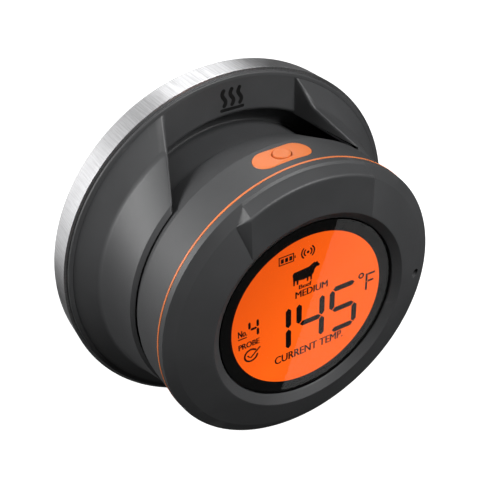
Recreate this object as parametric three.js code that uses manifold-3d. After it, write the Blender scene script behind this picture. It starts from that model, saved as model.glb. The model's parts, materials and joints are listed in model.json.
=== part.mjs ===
// A round meat thermometer for a grill lid: a display head that docks, by magnets, in a cup-shaped base
// with a brushed steel rim. Millimetres, +Z up (12 o'clock), the display faces -Y.
// Depth is measured forward from the back face, so a point at depth d has y = -d.
// Angles run clockwise from 12 o'clock as seen from the front.

import * as THREE from "three";
import { mergeVertices } from "three/addons/utils/BufferGeometryUtils.js";
import Module from "manifold-3d";

// ---- General ----
const FIT = 0.3; // gap between pieces that rest on or in each other
const SEAM_GAP = 0.1; // gap at a trim piece that fills its recess
const WALL = 2.2; // moulded wall
const THIN_WALL = 1.2; // moulded wall where depth is short
const EDGE = 0.6; // small edge break
const THROUGH = 1; // how far a cutter, or the root of a joined piece, reaches past the surface it meets
const MERGE = 1e-4; // vertices closer than this are one
const SIDES = 40; // facets round a shell
const INNER_SIDES = 24; // facets round an inner disc
const BAR_SIDES = 20; // facets round a cell, the button or the buzzer
const SMALL_DISC_SIDES = 12; // facets round a small disc
const ROD_SIDES = 8; // facets round a post, screw or pin
const ARC_SEGMENTS = 8; // facets along each arc of an outline
const WIRE_SEGMENTS = 5;

// ---- Head shell ----
const HEAD_RADIUS = 43.2;
const SIDE_DRAFT = 0.15;
const SIDE_LENGTH = 11.75; // shoulder to the accent ring
const TAPER_LENGTH = 12.35; // rear face to the shoulder
const TAPER_IN = 3.75; // how much narrower the rear face is than the shoulder
const DOCK_DEPTH = 19.7; // back face of the base to the head's rear face
const ACCENT_WIDTH = 0.7;
const ACCENT_PROUD = 0.1;
const BEZEL_SIDE = 1.9; // accent ring to the bezel's outer edge
const BEZEL_RISE = 4.7; // bezel's outer edge to its front rim
const SIDE_BREAK = 0.1; // draft of the bezel's short side

// ---- Window and display ----
const SCREEN_RADIUS = 24.2; // lit part of the display
const GLASS_MARGIN = 2.2; // display glass beyond the lit part
const LENS_MARGIN = 1.5; // window beyond the display glass
const RIM_MARGIN = 2.85; // front rim beyond the window
const LENS_THICKNESS = 1.0;
const LENS_RECESS = 1.7; // lens face behind the front rim
const SEAL_THICKNESS = 0.7;
const PANEL_THICKNESS = 2.1;
const GUIDE_THICKNESS = 2.2;
const HOLDER_FLOOR = 1.6;

// ---- Raised land on the bezel, above the window ----
const LAND_HALF = 18.75;
const LAND_DRAFT = 0.67; // widening for each millimetre of depth
const LAND_OUTER = 41.4;
const LAND_ROUND = 0.7; // rounded edge round the top of its outer wall
const LAND_SPREAD = 0.8; // how much wider the outer wall is at its foot

// ---- Sound hole ----
const SOUND_HOLE_RADIUS = 1.1;
const SOUND_HOLE_X = 37.9;
const SOUND_HOLE_Z = -3.3;

// ---- Power button ----
const BUTTON_TURN = THREE.MathUtils.degToRad(-1.5); // where the pad is on the head's side
const BUTTON_BEHIND_RING = 6.3; // button centre behind the accent ring
const BUTTON_RADIUS = 2.4;
const BUTTON_PROUD = 0.3;
const BUTTON_TRAVEL = 0.8;
const BUTTON_FLANGE = 0.9; // how much wider the retaining flange is
const FLANGE_GAP = 0.5; // retaining flange under the shell
const FLANGE_THICKNESS = 1.1;
const STEM_LENGTH = 1.1;
const PAD_LENGTH = 16.8;
const PAD_WIDTH = 7.8;
const PAD_THICKNESS = 1.2;
const SWITCH_SIZE = 6.2;
const SWITCH_HEIGHT = 3.6;
const PLUNGER_RADIUS = 1.2;

// ---- Board and what is on it ----
const BOARD_THICKNESS = 1.6;
const BOARD_BEHIND_RING = 3.0; // board's front face behind the accent ring
const BOARD_GAP = 0.5;
const CHIP_SIZE = 7;
const CHIP_THICKNESS = 1.2;
const RADIO_LENGTH = 14;
const RADIO_WIDTH = 8.5;
const RADIO_THICKNESS = 2.0;
const BUZZER_RADIUS = 4.5;
const BUZZER_THICKNESS = 3.0;

// ---- Battery ----
const CELL_RADIUS = 5.25;
const CELL_LENGTH = 43.5; // without the terminal
const CELL_GAP = 0.9; // between the two cells
const TERMINAL_RADIUS = 1.9;
const TERMINAL_LENGTH = 1.0;
const CONTACT_ROOM = 2.6; // at each end of a cell
const CONTACT_THICKNESS = 0.5;
const SPRING_WIRE = 0.35;
const SPRING_TURNS = 2;
const SPRING_WIDE = 3.0; // radius at the wall
const SPRING_NARROW = 1.8; // radius at the cell
const TAB_SIZE = 7;
const DOME_RADIUS = 2.2;
const CELL_FLOOR_GAP = 1.0; // cells in front of the cover's lugs
const TRAY_END_MARGIN = 3.6; // end walls beyond the cells' axes
const TRAY_WALL = 1.2;

// ---- Battery cover ----
const COVER_MARGIN = 1.2; // cover beyond the corners of the cells' bay
const WELL_WALL = 1.8; // wall of the battery well
const COVER_RIM = 4.5;
const COVER_LUGS = 3;
const LUG_REACH = 1.8;
const LUG_THICKNESS = 1.3;
const LUG_HALF_ANGLE = THREE.MathUtils.degToRad(11);
const LUG_CLEARANCE = THREE.MathUtils.degToRad(3);
const COVER_TURN = THREE.MathUtils.degToRad(35); // closed to open
const COIN_SLOT_LENGTH = 17;
const COIN_SLOT_WIDTH = 2.4;
const COIN_SLOT_DEPTH = 1.4;
const SEAL_WIDTH = 0.85;

// ---- Steel keeper ring on the head's rear face ----
const KEEPER_WIDTH = 3.0;
const KEEPER_THICKNESS = 0.8;

// ---- Probe jacks ----
const JACK_COUNT = 4;
const JACK_STEP = THREE.MathUtils.degToRad(18);
const JACK_RADIUS = 3.0;
const JACK_BORE = 1.25;
const JACK_BORE_LENGTH = 8;
const JACK_BEHIND_RING = 9.3;

// ---- Screws ----
const SCREW_RADIUS = 1.0;
const SCREW_HEAD_RADIUS = 2.1;
const SCREW_HEAD_HEIGHT = 1.5;
const SCREW_EDGE = 0.4; // rounded edge of the head
const SCREW_POINT = 0.8; // length of the point
const DRIVE_RADIUS = 0.9;
const DRIVE_DEPTH = 0.8;
const SEAT_BEHIND_BOARD = 7.3; // seat of a housing screw behind the board
const HOUSING_SCREW_LENGTH = 10;
const BACK_SCREW_LENGTH = 9;
const SCREW_COUNT = 4;
const POST_WALL = 1.5; // plastic round a screw
const SCREW_PLAY = 0.2; // radial, screw in its pilot hole
const PILOT_ROOM = 2; // pilot hole in front of the screw's point

// ---- Base ----
const FLANGE_WIDTH = 11.8; // base beyond the head's side
const FOOT_PROUD = 0.6; // grip pad behind the steel rim
const PAD_SHEET = 1.1; // grip pad thickness
const GRIP_INSET = 3.5; // edge of the back plate round the grip pad
const RIM_LENGTH = 8.9;
const RIM_THICKNESS = 0.9;
const RIM_RETURN = 5.5; // flange of the steel rim, turned in behind the base
const LIP_WIDTH = 1.0;
const LIP_RISE = 1.1; // notch floor in front of the steel rim
const BAND_BREAK = 0.25; // steel rim's draft
const BAND_ROUND = 1; // steel rim's rear edge
const CONE_RISE = 5.66;
const BOSS_FILLET = 1; // between the cone and the cup
const BOSS_FLARE = 3.35; // how much wider the cup is at its foot
const CUP_BEVEL = 1.2;
const CUP_STANDOFF = 1.95; // cup's front edge behind the head's shoulder
const DRUM_INSET = 2.2; // dock drum narrower than the head's rear face
const PLATE_FLOOR = 1.2;
const POST_STANDOFF = 2.3; // screw posts in front of the back plate
const RING_HEIGHT = 2.4; // locating ring of a lid magnet

// ---- Finger notch ----
const NOTCH_HALF = 20.5; // at its floor
const NOTCH_DRAFT = 0.45; // widening for each millimetre forward

// ---- Magnets ----
const LID_MAGNET_RADIUS = 9;
const LID_MAGNET_THICKNESS = 4;
const LID_MAGNET_CIRCLE = 16.5;
const DOCK_MAGNET_RADIUS = 3.4;
const DOCK_MAGNET_THICKNESS = 3;
const MAGNET_COUNT = 4;
const CUP_RING = 1.2; // wall of a magnet's locating ring
const YOKE_THICKNESS = 1.5;
const YOKE_BORE = 5;

// ---- Places that follow from the sizes ----
const baseRadius = HEAD_RADIUS + FLANGE_WIDTH;
const rimFront = FOOT_PROUD + RIM_LENGTH;
const notchFloor = rimFront + LIP_RISE;
const shoulderDepth = DOCK_DEPTH + TAPER_LENGTH;
const shoulderRadius = HEAD_RADIUS - SIDE_DRAFT;
const rearRadius = shoulderRadius - TAPER_IN;
const ringDepth = shoulderDepth + SIDE_LENGTH;
const bezelRear = ringDepth + ACCENT_WIDTH;
const bezelEdge = bezelRear + BEZEL_SIDE;
const frontRim = bezelEdge + BEZEL_RISE;
const innerRadius = HEAD_RADIUS - WALL;
const lensFront = frontRim - LENS_RECESS;
const lensRear = lensFront - LENS_THICKNESS;
const glassRadius = SCREEN_RADIUS + GLASS_MARGIN;
const lensRadius = glassRadius + LENS_MARGIN;
const rimFlatRadius = lensRadius + RIM_MARGIN;
const seatRadius = lensRadius + FIT;
const ledgeRadius = glassRadius + FIT;
const panelFront = lensRear - FIT;
const panelRear = panelFront - PANEL_THICKNESS;
const guideFront = panelRear - FIT;
const guideRear = guideFront - GUIDE_THICKNESS;
const ledgeDepth = lensRear - SEAL_THICKNESS - FIT;
const holderTop = ledgeDepth - WALL - FIT;
const boardFront = ringDepth - BOARD_BEHIND_RING;
const boardRear = boardFront - BOARD_THICKNESS;
const bayHalf = CELL_LENGTH / 2 + TERMINAL_LENGTH;
const cellOffset = CELL_RADIUS + CELL_GAP / 2;
const coverRadius = Math.hypot(bayHalf, 2 * cellOffset) + COVER_MARGIN;
const openingRadius = coverRadius + FIT;
const lugRadius = coverRadius + LUG_REACH;
const wellRadius = lugRadius + FIT;
const wellWallRadius = wellRadius + WELL_WALL;
const insideRear = DOCK_DEPTH + WALL;
const lugRear = insideRear + FIT;
const lugFront = lugRear + LUG_THICKNESS;
const cellDepth = lugFront + CELL_RADIUS + CELL_FLOOR_GAP;
const trayFloorRear = cellDepth + CELL_RADIUS + FIT;
const trayFloorFront = trayFloorRear + TRAY_WALL;
const keeperInner = wellRadius + EDGE + FIT;
const keeperOuter = keeperInner + KEEPER_WIDTH;
const headScrewCircle = keeperOuter + FIT + EDGE + SCREW_HEAD_RADIUS + FIT;
const postRadius = SCREW_RADIUS + SCREW_PLAY + POST_WALL;
const counterboreRadius = SCREW_HEAD_RADIUS + FIT;
const headScrewSeat = boardRear - SEAT_BEHIND_BOARD;
const jackDepth = ringDepth - JACK_BEHIND_RING;
const buttonDepth = ringDepth - BUTTON_BEHIND_RING;
const padOuter = HEAD_RADIUS + ACCENT_PROUD;
const padInner = padOuter - PAD_THICKNESS;
const buttonTop = padOuter + BUTTON_PROUD;
const flangeTop = innerRadius - FLANGE_GAP;
const flangeBottom = flangeTop - FLANGE_THICKNESS;
const stemBottom = flangeBottom - STEM_LENGTH;
const plungerTop = stemBottom - BUTTON_TRAVEL - SEAM_GAP;
const cupFront = shoulderDepth - CUP_STANDOFF;
const cupInner = taperRadius(cupFront) + FIT;
const cupEdge = cupInner + CUP_BEVEL;
const bossFoot = cupEdge + BOSS_FLARE;
const coneTop = notchFloor + CONE_RISE;
const padRecess = PAD_SHEET + FIT;
const plateFront = padRecess + PLATE_FLOOR;
const bodyRear = plateFront + FIT;
const grooveFloor = bodyRear + THIN_WALL;
const drumRadius = rearRadius - DRUM_INSET;
const drumTop = DOCK_DEPTH - FIT;
const drumCeiling = drumTop - WALL;
const lipOuter = baseRadius - RIM_THICKNESS - FIT;
const coneOuter = lipOuter - LIP_WIDTH;
const plateRadius = baseRadius - RIM_RETURN - FIT;
const gripRadius = plateRadius - GRIP_INSET;
const backPostRear = plateFront + POST_STANDOFF;
const dockMagnetCircle = (keeperInner + keeperOuter) / 2;
const backScrewCircle = LID_MAGNET_CIRCLE + LID_MAGNET_RADIUS + postRadius + CUP_RING;

const postRear = headScrewSeat + THIN_WALL + EDGE; // where the shells' screw posts meet
const sheetRear = buttonDepth - PAD_WIDTH;
const sheetFront = buttonDepth + PAD_WIDTH;

const wasm = await Module();
wasm.setup();

// ---- Making solids ----

// The head's outer radius along its rear taper.
function taperRadius(depth) {
  return rearRadius + ((depth - DOCK_DEPTH) / TAPER_LENGTH) * TAPER_IN;
}

// A closed geometry as a solid that can be joined and cut.
function solid(geometry) {
  const loose = geometry.index ? geometry.toNonIndexed() : geometry.clone();
  loose.deleteAttribute("normal");
  loose.deleteAttribute("uv");
  const merged = mergeVertices(loose, MERGE);
  const kept = [];
  const index = merged.index.array;
  for (let i = 0; i < index.length; i += 3) {
    const [a, b, c] = index.slice(i, i + 3);
    if (a !== b && b !== c && c !== a) kept.push(a, b, c);
  }
  const vertProperties = merged.attributes.position.array;
  return new wasm.Manifold(new wasm.Mesh({ numProp: 3, vertProperties, triVerts: new Uint32Array(kept) }));
}

// The geometry of a solid.
function geometryOf(made) {
  const mesh = made.getMesh();
  const points = new Float32Array(mesh.numVert * 3);
  for (let i = 0; i < mesh.numVert; i++) {
    points.set(mesh.vertProperties.subarray(i * mesh.numProp, i * mesh.numProp + 3), i * 3);
  }
  const geometry = new THREE.BufferGeometry();
  geometry.setAttribute("position", new THREE.BufferAttribute(points, 3));
  geometry.setIndex(new THREE.BufferAttribute(mesh.triVerts, 1));
  geometry.computeVertexNormals();
  return geometry;
}

// Several solids joined into one.
function joined(pieces) {
  return pieces.reduce((whole, piece) => whole.add(piece));
}

// A first solid with every other one taken away.
function cut(body, cutters) {
  return cutters.reduce((whole, cutter) => whole.subtract(cutter), body);
}

// A profile of [radius, depth] points turned about the object's axis.
function turned(profile, sides = SIDES) {
  const points = profile.map(([radius, depth]) => new THREE.Vector2(radius, -depth));
  if (THREE.ShapeUtils.isClockWise(points)) points.reverse();
  if (profile[0][0] > 0) points.push(points[0].clone());
  return solid(new THREE.LatheGeometry(points, sides));
}

function disc(radius, rear, front, sides = SIDES) {
  return turned([[0, rear], [radius, rear], [radius, front], [0, front]], sides);
}

function ring(inner, outer, rear, front, sides = SIDES) {
  return turned([[inner, rear], [outer, rear], [outer, front], [inner, front]], sides);
}

// A round bar along the depth, at x, z.
function post(x, z, radius, rear, front, sides = ROD_SIDES) {
  const bar = new THREE.CylinderGeometry(radius, radius, front - rear, sides);
  return solid(bar.translate(x, -(rear + front) / 2, z));
}

// A box between two x, two depths and two z.
function block(left, right, rear, front, low, high) {
  const box = new THREE.BoxGeometry(right - left, front - rear, high - low);
  return solid(box.translate((left + right) / 2, -(rear + front) / 2, (low + high) / 2));
}

// A round bar standing out from the axis, from one radius to another, at an angle and a depth.
function spoke(radius, from, to, angle, depth, sides = ROD_SIDES) {
  const bar = new THREE.CylinderGeometry(radius, radius, to - from, sides);
  bar.rotateX(Math.PI / 2).translate(0, 0, (from + to) / 2);
  return solid(bar.rotateY(angle).translate(0, -depth, 0));
}

// An upright prism whose outline in x and depth widens forward by draft, from one z to another.
function wedge(halfRear, draft, rear, front, low, high) {
  const halfFront = halfRear + draft * (front - rear);
  const outline = new THREE.Shape([
    new THREE.Vector2(-halfRear, -rear),
    new THREE.Vector2(halfRear, -rear),
    new THREE.Vector2(halfFront, -front),
    new THREE.Vector2(-halfFront, -front),
  ]);
  const prism = new THREE.ExtrudeGeometry(outline, { depth: high - low, bevelEnabled: false });
  return solid(prism.translate(0, 0, low));
}

// Part of a ring between two radii, centred on an angle.
function sector(inner, outer, rear, front, angle, half) {
  const outline = new THREE.Shape();
  outline.absarc(0, 0, outer, Math.PI / 2 - angle - half, Math.PI / 2 - angle + half, false);
  outline.absarc(0, 0, inner, Math.PI / 2 - angle + half, Math.PI / 2 - angle - half, true);
  const settings = { depth: front - rear, bevelEnabled: false, curveSegments: ARC_SEGMENTS };
  const flat = new THREE.ExtrudeGeometry(outline, settings);
  return solid(flat.translate(0, 0, rear).rotateX(Math.PI / 2));
}

// An obround bar standing out from the axis at the button's angle and depth.
function obround(length, width, from, to) {
  const half = (length - width) / 2;
  const outline = new THREE.Shape();
  outline.absarc(half, 0, width / 2, -Math.PI / 2, Math.PI / 2, false);
  outline.absarc(-half, 0, width / 2, Math.PI / 2, (3 * Math.PI) / 2, false);
  const settings = { depth: to - from, bevelEnabled: false, curveSegments: ARC_SEGMENTS };
  const bar = new THREE.ExtrudeGeometry(outline, settings);
  return solid(bar.translate(0, 0, from).rotateY(BUTTON_TURN).translate(0, -buttonDepth, 0));
}

// A round bar through the middle of the pad.
function buttonBar(radius, from, to) {
  return spoke(radius, from, to, BUTTON_TURN, buttonDepth, BAR_SIDES);
}

// The x, z places of a number of like pieces on a circle.
function around(count, circle, start = 0) {
  return Array.from({ length: count }, (_, i) => {
    const angle = start + (i * 2 * Math.PI) / count;
    return [circle * Math.sin(angle), circle * Math.cos(angle)];
  });
}

const headPosts = around(SCREW_COUNT, headScrewCircle, Math.PI / 4);
const backPosts = around(SCREW_COUNT, backScrewCircle, Math.PI / 4);
const dockMagnets = around(MAGNET_COUNT, dockMagnetCircle);
const lidMagnets = around(MAGNET_COUNT, LID_MAGNET_CIRCLE);
const jackAngles = Array.from(
  { length: JACK_COUNT },
  (_, i) => Math.PI + (i - (JACK_COUNT - 1) / 2) * JACK_STEP,
);
const lugAngles = Array.from({ length: COVER_LUGS }, (_, i) => (i * 2 * Math.PI) / COVER_LUGS);

// ---- Materials ----
function finish(color, roughness, metalness = 0) {
  return new THREE.MeshStandardMaterial({ color, roughness, metalness });
}

const CHARCOAL = finish(0x37383a, 0.55);
const ORANGE = finish(0xff8a4c, 0.5);
const STEEL = finish(0xc8c9cb, 0.3, 1);
const ZINC = finish(0xa8abad, 0.4, 1);
const MAGNET = finish(0x8d9092, 0.25, 1);
const BRASS = finish(0xc9a557, 0.35, 1);
const SILICONE = finish(0x222326, 0.8);
const BLACK_PLASTIC = finish(0x18191b, 0.6);
const WHITE_PLASTIC = finish(0xe6e4dd, 0.6);
const WINDOW = finish(0x0c0d0e, 0.05);
const DISPLAY = finish(0xf7600f, 0.3);
const BOARD_GREEN = finish(0x1f5a37, 0.5);
const CELL_WRAP = finish(0x3f4348, 0.35);

// ---- The model ----
const thermometer = new THREE.Group();
const base = new THREE.Group();
const head = new THREE.Group();
thermometer.add(base, head);

function place(group, name, made, material) {
  const mesh = new THREE.Mesh(geometryOf(made), material);
  mesh.name = name;
  group.add(mesh);
  return mesh;
}

// Like pieces, numbered from 1, each made once at x = z = 0 and moved to its place.
function placeAround(group, name, made, material, places) {
  places.forEach(([x, z], i) => {
    place(group, `${name}_${i + 1}`, made, material).position.set(x, 0, z);
  });
}

// A screw along the depth, its head at the rear.
function screw(headRear, length) {
  const headFront = headRear + SCREW_HEAD_HEIGHT;
  const driveEnd = headRear + DRIVE_DEPTH;
  const tip = headFront + length;
  return turned([
    [0, driveEnd], [DRIVE_RADIUS, driveEnd], [DRIVE_RADIUS, headRear],
    [SCREW_HEAD_RADIUS - SCREW_EDGE, headRear], [SCREW_HEAD_RADIUS, headRear + SCREW_EDGE],
    [SCREW_HEAD_RADIUS, headFront], [SCREW_RADIUS, headFront], [SCREW_RADIUS, tip - SCREW_POINT], [0, tip],
  ], ROD_SIDES);
}

// ---- Base ----

// A moulded cup on a conical flange. A drum in the cup carries the dock magnets, and a notch at 12 o'clock
// opens the cup's wall for a finger.
function baseHousing() {
  const rimWallInner = lipOuter - WALL;
  const skirtRear = FOOT_PROUD + RIM_THICKNESS + FIT;
  const body = turned([
    [0, bodyRear], [rimWallInner, bodyRear], [rimWallInner, skirtRear],
    [lipOuter, skirtRear], [lipOuter, rimFront + EDGE / 2],
    [lipOuter - EDGE / 2, notchFloor - EDGE / 2], [coneOuter, notchFloor],
    [bossFoot + BOSS_FILLET, coneTop - BOSS_FILLET], [bossFoot, coneTop + EDGE],
    [cupEdge, cupFront - CUP_BEVEL], [cupInner, cupFront],
    [cupInner, grooveFloor + EDGE], [cupInner - EDGE, grooveFloor],
    [drumRadius + EDGE, grooveFloor], [drumRadius, grooveFloor + EDGE],
    [drumRadius, drumTop - EDGE], [drumRadius - EDGE, drumTop], [0, drumTop],
  ]);
  const slope = CONE_RISE / (coneOuter - bossFoot);
  const coneDrop = WALL * Math.hypot(1, slope);
  const hollowTop = coneTop - coneDrop;
  const hollowInner = cupInner + WALL;
  const hollowOuter = Math.min(rimWallInner, bossFoot);
  const kneeDepth = notchFloor - coneDrop + (coneOuter - rimWallInner) * slope;
  const hollow = turned([
    [hollowInner, 0], [rimWallInner, 0], [rimWallInner, kneeDepth],
    [Math.max(hollowOuter, hollowInner + EDGE), hollowTop], [hollowInner, hollowTop],
  ]);
  const notchShell = wedge(NOTCH_HALF + WALL, NOTCH_DRAFT, notchFloor - WALL, frontRim, 0, baseRadius);
  const drumHollow = disc(drumRadius - WALL, 0, drumCeiling);
  const shell = cut(body, [hollow.subtract(notchShell), drumHollow]);

  const magnetRear = drumCeiling - FIT - DOCK_MAGNET_THICKNESS;
  const rings = dockMagnets.map(([x, z]) =>
    post(x, z, DOCK_MAGNET_RADIUS + FIT + CUP_RING, magnetRear + THROUGH, drumTop - EDGE, SMALL_DISC_SIDES));
  const posts = backPosts.map(([x, z]) => post(x, z, postRadius, backPostRear, drumTop - EDGE));
  const pockets = dockMagnets.map(([x, z]) =>
    post(x, z, DOCK_MAGNET_RADIUS + FIT, magnetRear - THROUGH, drumCeiling, SMALL_DISC_SIDES));
  const pilotFront = padRecess + FIT + SCREW_HEAD_HEIGHT + BACK_SCREW_LENGTH + PILOT_ROOM / 2;
  const pilots = backPosts.map(([x, z]) =>
    post(x, z, SCREW_RADIUS + SCREW_PLAY, backPostRear - THROUGH, pilotFront));

  const notch = wedge(NOTCH_HALF, NOTCH_DRAFT, notchFloor, frontRim, 0, baseRadius);
  const cupSpace = disc((cupInner + drumRadius) / 2, notchFloor - THROUGH, frontRim + THROUGH);
  return cut(joined([shell, ...rings, ...posts]), [...pockets, ...pilots, notch.subtract(cupSpace)]);
}

// A pressed band of brushed stainless steel, turned in behind the base.
function steelRim() {
  const inner = baseRadius - RIM_THICKNESS;
  const returnInner = baseRadius - RIM_RETURN;
  return turned([
    [inner, rimFront], [baseRadius, rimFront], [baseRadius - BAND_BREAK, FOOT_PROUD + BAND_ROUND],
    [baseRadius - BAND_ROUND, FOOT_PROUD], [returnInner, FOOT_PROUD],
    [returnInner, FOOT_PROUD + RIM_THICKNESS],
    [inner, FOOT_PROUD + RIM_THICKNESS],
  ]);
}

// The rear cover: a recess for the grip pad behind, rings for the lid magnets and seats for the screws.
function backPlate() {
  const plate = turned([
    [0, padRecess], [gripRadius + FIT, padRecess], [gripRadius + FIT, FOOT_PROUD],
    [plateRadius, FOOT_PROUD], [plateRadius, plateFront], [0, plateFront],
  ]);
  const ringInner = LID_MAGNET_RADIUS + FIT;
  const seatFront = backPostRear - FIT;
  const seatFloor = padRecess + FIT + SCREW_HEAD_HEIGHT + FIT;
  const footing = plateFront - PLATE_FLOOR / 2;
  const ringFront = plateFront + RING_HEIGHT;
  const rings = lidMagnets.map(([x, z]) =>
    post(x, z, ringInner + CUP_RING, footing, ringFront, INNER_SIDES));
  const seats = backPosts.map(([x, z]) => post(x, z, counterboreRadius + CUP_RING, footing, seatFront));
  const wells = lidMagnets.map(([x, z]) =>
    post(x, z, ringInner, plateFront, ringFront + THROUGH, INNER_SIDES));
  const sinks = backPosts.map(([x, z]) => post(x, z, counterboreRadius, 0, seatFloor));
  const holes = backPosts.map(([x, z]) => post(x, z, SCREW_RADIUS + FIT, 0, seatFront + THROUGH));
  return cut(joined([plate, ...rings, ...seats]), [...wells, ...sinks, ...holes]);
}

function addBase() {
  place(base, "base_housing", baseHousing(), CHARCOAL);
  place(base, "steel_rim", steelRim(), STEEL);
  place(base, "back_plate", backPlate(), BLACK_PLASTIC);
  place(base, "grip_pad", disc(gripRadius, 0, PAD_SHEET), SILICONE);

  const magnetRear = plateFront + FIT;
  const magnetFront = magnetRear + LID_MAGNET_THICKNESS;
  const lidMagnet = disc(LID_MAGNET_RADIUS, magnetRear, magnetFront, INNER_SIDES);
  placeAround(base, "lid_magnet", lidMagnet, MAGNET, lidMagnets);
  const yokeRadius = backScrewCircle - postRadius - FIT;
  const yokeRear = magnetFront + FIT;
  const yoke = ring(YOKE_BORE, yokeRadius, yokeRear, yokeRear + YOKE_THICKNESS, INNER_SIDES);
  place(base, "magnet_yoke", yoke, ZINC);

  const dockFront = drumCeiling - FIT;
  const dockRear = dockFront - DOCK_MAGNET_THICKNESS;
  const dockMagnet = disc(DOCK_MAGNET_RADIUS, dockRear, dockFront, SMALL_DISC_SIDES);
  placeAround(base, "dock_magnet", dockMagnet, MAGNET, dockMagnets);
  placeAround(base, "back_screw", screw(padRecess + FIT, BACK_SCREW_LENGTH), ZINC, backPosts);
}

// ---- Head: shells ----

// The rear shell: a cup with a tapered back, a round battery well and posts for the housing screws.
function rearHousing() {
  const shell = turned([
    [0, DOCK_DEPTH], [rearRadius - EDGE, DOCK_DEPTH], [rearRadius, DOCK_DEPTH + EDGE],
    [shoulderRadius, shoulderDepth], [HEAD_RADIUS, ringDepth],
    [innerRadius, ringDepth], [innerRadius, shoulderDepth + EDGE],
    [taperRadius(insideRear) - WALL, insideRear], [0, insideRear],
  ]);
  const well = ring(wellRadius, wellWallRadius, insideRear - EDGE, trayFloorRear);
  const seatRing = counterboreRadius + THIN_WALL - EDGE / 2;
  const posts = headPosts.map(([x, z]) => post(x, z, seatRing, insideRear - EDGE, postRear));

  const opening = disc(openingRadius, 0, insideRear + THROUGH);
  const entryHalf = LUG_HALF_ANGLE + LUG_CLEARANCE;
  const entries = lugAngles.map((angle) =>
    sector(coverRadius - THROUGH, wellRadius, 0, insideRear + THROUGH, angle + COVER_TURN, entryHalf));
  const keeperSeat = ring(keeperInner - FIT, keeperOuter + FIT, 0, DOCK_DEPTH + KEEPER_THICKNESS + FIT);
  const sinks = headPosts.map(([x, z]) => post(x, z, counterboreRadius, 0, headScrewSeat));
  const holes = headPosts.map(([x, z]) => post(x, z, SCREW_RADIUS + FIT, DOCK_DEPTH, ringDepth));
  const seatOutline = obround(PAD_LENGTH + 2 * SEAM_GAP, PAD_WIDTH + 2 * SEAM_GAP, 0, padOuter + THROUGH);
  const padSeat = ring(padInner - FIT, padOuter + THROUGH, sheetRear, sheetFront).intersect(seatOutline);
  const buttonHole = buttonBar(BUTTON_RADIUS + FIT, innerRadius - PAD_THICKNESS, padOuter + THROUGH);
  const jackHoles = jackAngles.map((angle) =>
    spoke(JACK_RADIUS + FIT, taperRadius(insideRear) - WALL, HEAD_RADIUS + THROUGH, angle, jackDepth));
  const cutters = [opening, ...entries, keeperSeat, ...sinks, ...holes, padSeat, buttonHole, ...jackHoles];
  return cut(joined([shell, well, ...posts]), cutters);
}

// The front shell: a shallow cone round the window, a raised land above it, and the screw posts behind.
function frontBezel() {
  const wellOuter = seatRadius + WALL;
  const shell = turned([
    [HEAD_RADIUS, bezelRear], [HEAD_RADIUS - SIDE_BREAK, bezelEdge], [rimFlatRadius, frontRim],
    [seatRadius, lensFront + SEAM_GAP], [seatRadius, ledgeDepth], [ledgeRadius, ledgeDepth],
    [ledgeRadius, ledgeDepth - WALL], [wellOuter - EDGE, ledgeDepth - WALL],
    [wellOuter, frontRim - WALL - EDGE], [innerRadius, bezelEdge - WALL + EDGE],
    [innerRadius, bezelRear],
  ]);
  const landRear = bezelEdge - THROUGH;
  const landProfile = turned([
    [rimFlatRadius, landRear], [rimFlatRadius, frontRim], [LAND_OUTER - LAND_ROUND, frontRim],
    [LAND_OUTER, frontRim - LAND_ROUND], [LAND_OUTER + LAND_SPREAD, bezelEdge + EDGE],
    [LAND_OUTER + LAND_SPREAD, landRear],
  ]);
  const landHalfRear = LAND_HALF + LAND_DRAFT * (frontRim - landRear);
  const landPrism = wedge(landHalfRear, -LAND_DRAFT, landRear, frontRim, 0, HEAD_RADIUS);
  const land = landProfile.intersect(landPrism);
  const underSkin = turned([
    [0, postRear + FIT], [HEAD_RADIUS, postRear + FIT], [HEAD_RADIUS, bezelRear],
    [HEAD_RADIUS - SIDE_BREAK, bezelEdge - EDGE], [rimFlatRadius, frontRim - EDGE], [0, frontRim - EDGE],
  ]);
  const posts = headPosts.map(([x, z]) =>
    post(x, z, postRadius, postRear, frontRim).intersect(underSkin));
  const pilotFront = headScrewSeat + HOUSING_SCREW_LENGTH + PILOT_ROOM;
  const pilots = headPosts.map(([x, z]) => post(x, z, SCREW_RADIUS + SCREW_PLAY, postRear, pilotFront));
  const soundHole = post(SOUND_HOLE_X, SOUND_HOLE_Z, SOUND_HOLE_RADIUS, bezelRear, frontRim + THROUGH);
  return cut(joined([shell, land, ...posts]), [...pilots, soundHole]);
}

// The cover of the battery bay: a disc with a rim, bayonet lugs and a coin slot.
function batteryCover() {
  const sealRear = DOCK_DEPTH + EDGE + SEAM_GAP;
  const sealFront = insideRear - EDGE / 2;
  const body = turned([
    [0, DOCK_DEPTH], [coverRadius - EDGE / 2, DOCK_DEPTH], [coverRadius, DOCK_DEPTH + EDGE / 2],
    [coverRadius, sealRear], [coverRadius - SEAL_WIDTH - SEAM_GAP, sealRear],
    [coverRadius - SEAL_WIDTH - SEAM_GAP, sealFront], [coverRadius, sealFront],
    [coverRadius, lugFront], [coverRadius - COVER_RIM, lugFront], [coverRadius - COVER_RIM, insideRear],
    [0, insideRear],
  ]);
  const lugs = lugAngles.map((angle) =>
    sector(coverRadius - THROUGH, lugRadius, lugRear, lugFront, angle, LUG_HALF_ANGLE));
  const halfSlot = COIN_SLOT_LENGTH / 2;
  const halfWidth = COIN_SLOT_WIDTH / 2;
  const slot = block(-halfSlot, halfSlot, 0, DOCK_DEPTH + COIN_SLOT_DEPTH, -halfWidth, halfWidth);
  return joined([body, ...lugs]).subtract(slot);
}

function coverSeal() {
  const rear = DOCK_DEPTH + EDGE + 2 * SEAM_GAP;
  return ring(coverRadius - SEAL_WIDTH, coverRadius, rear, insideRear - EDGE / 2 - SEAM_GAP);
}

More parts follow.
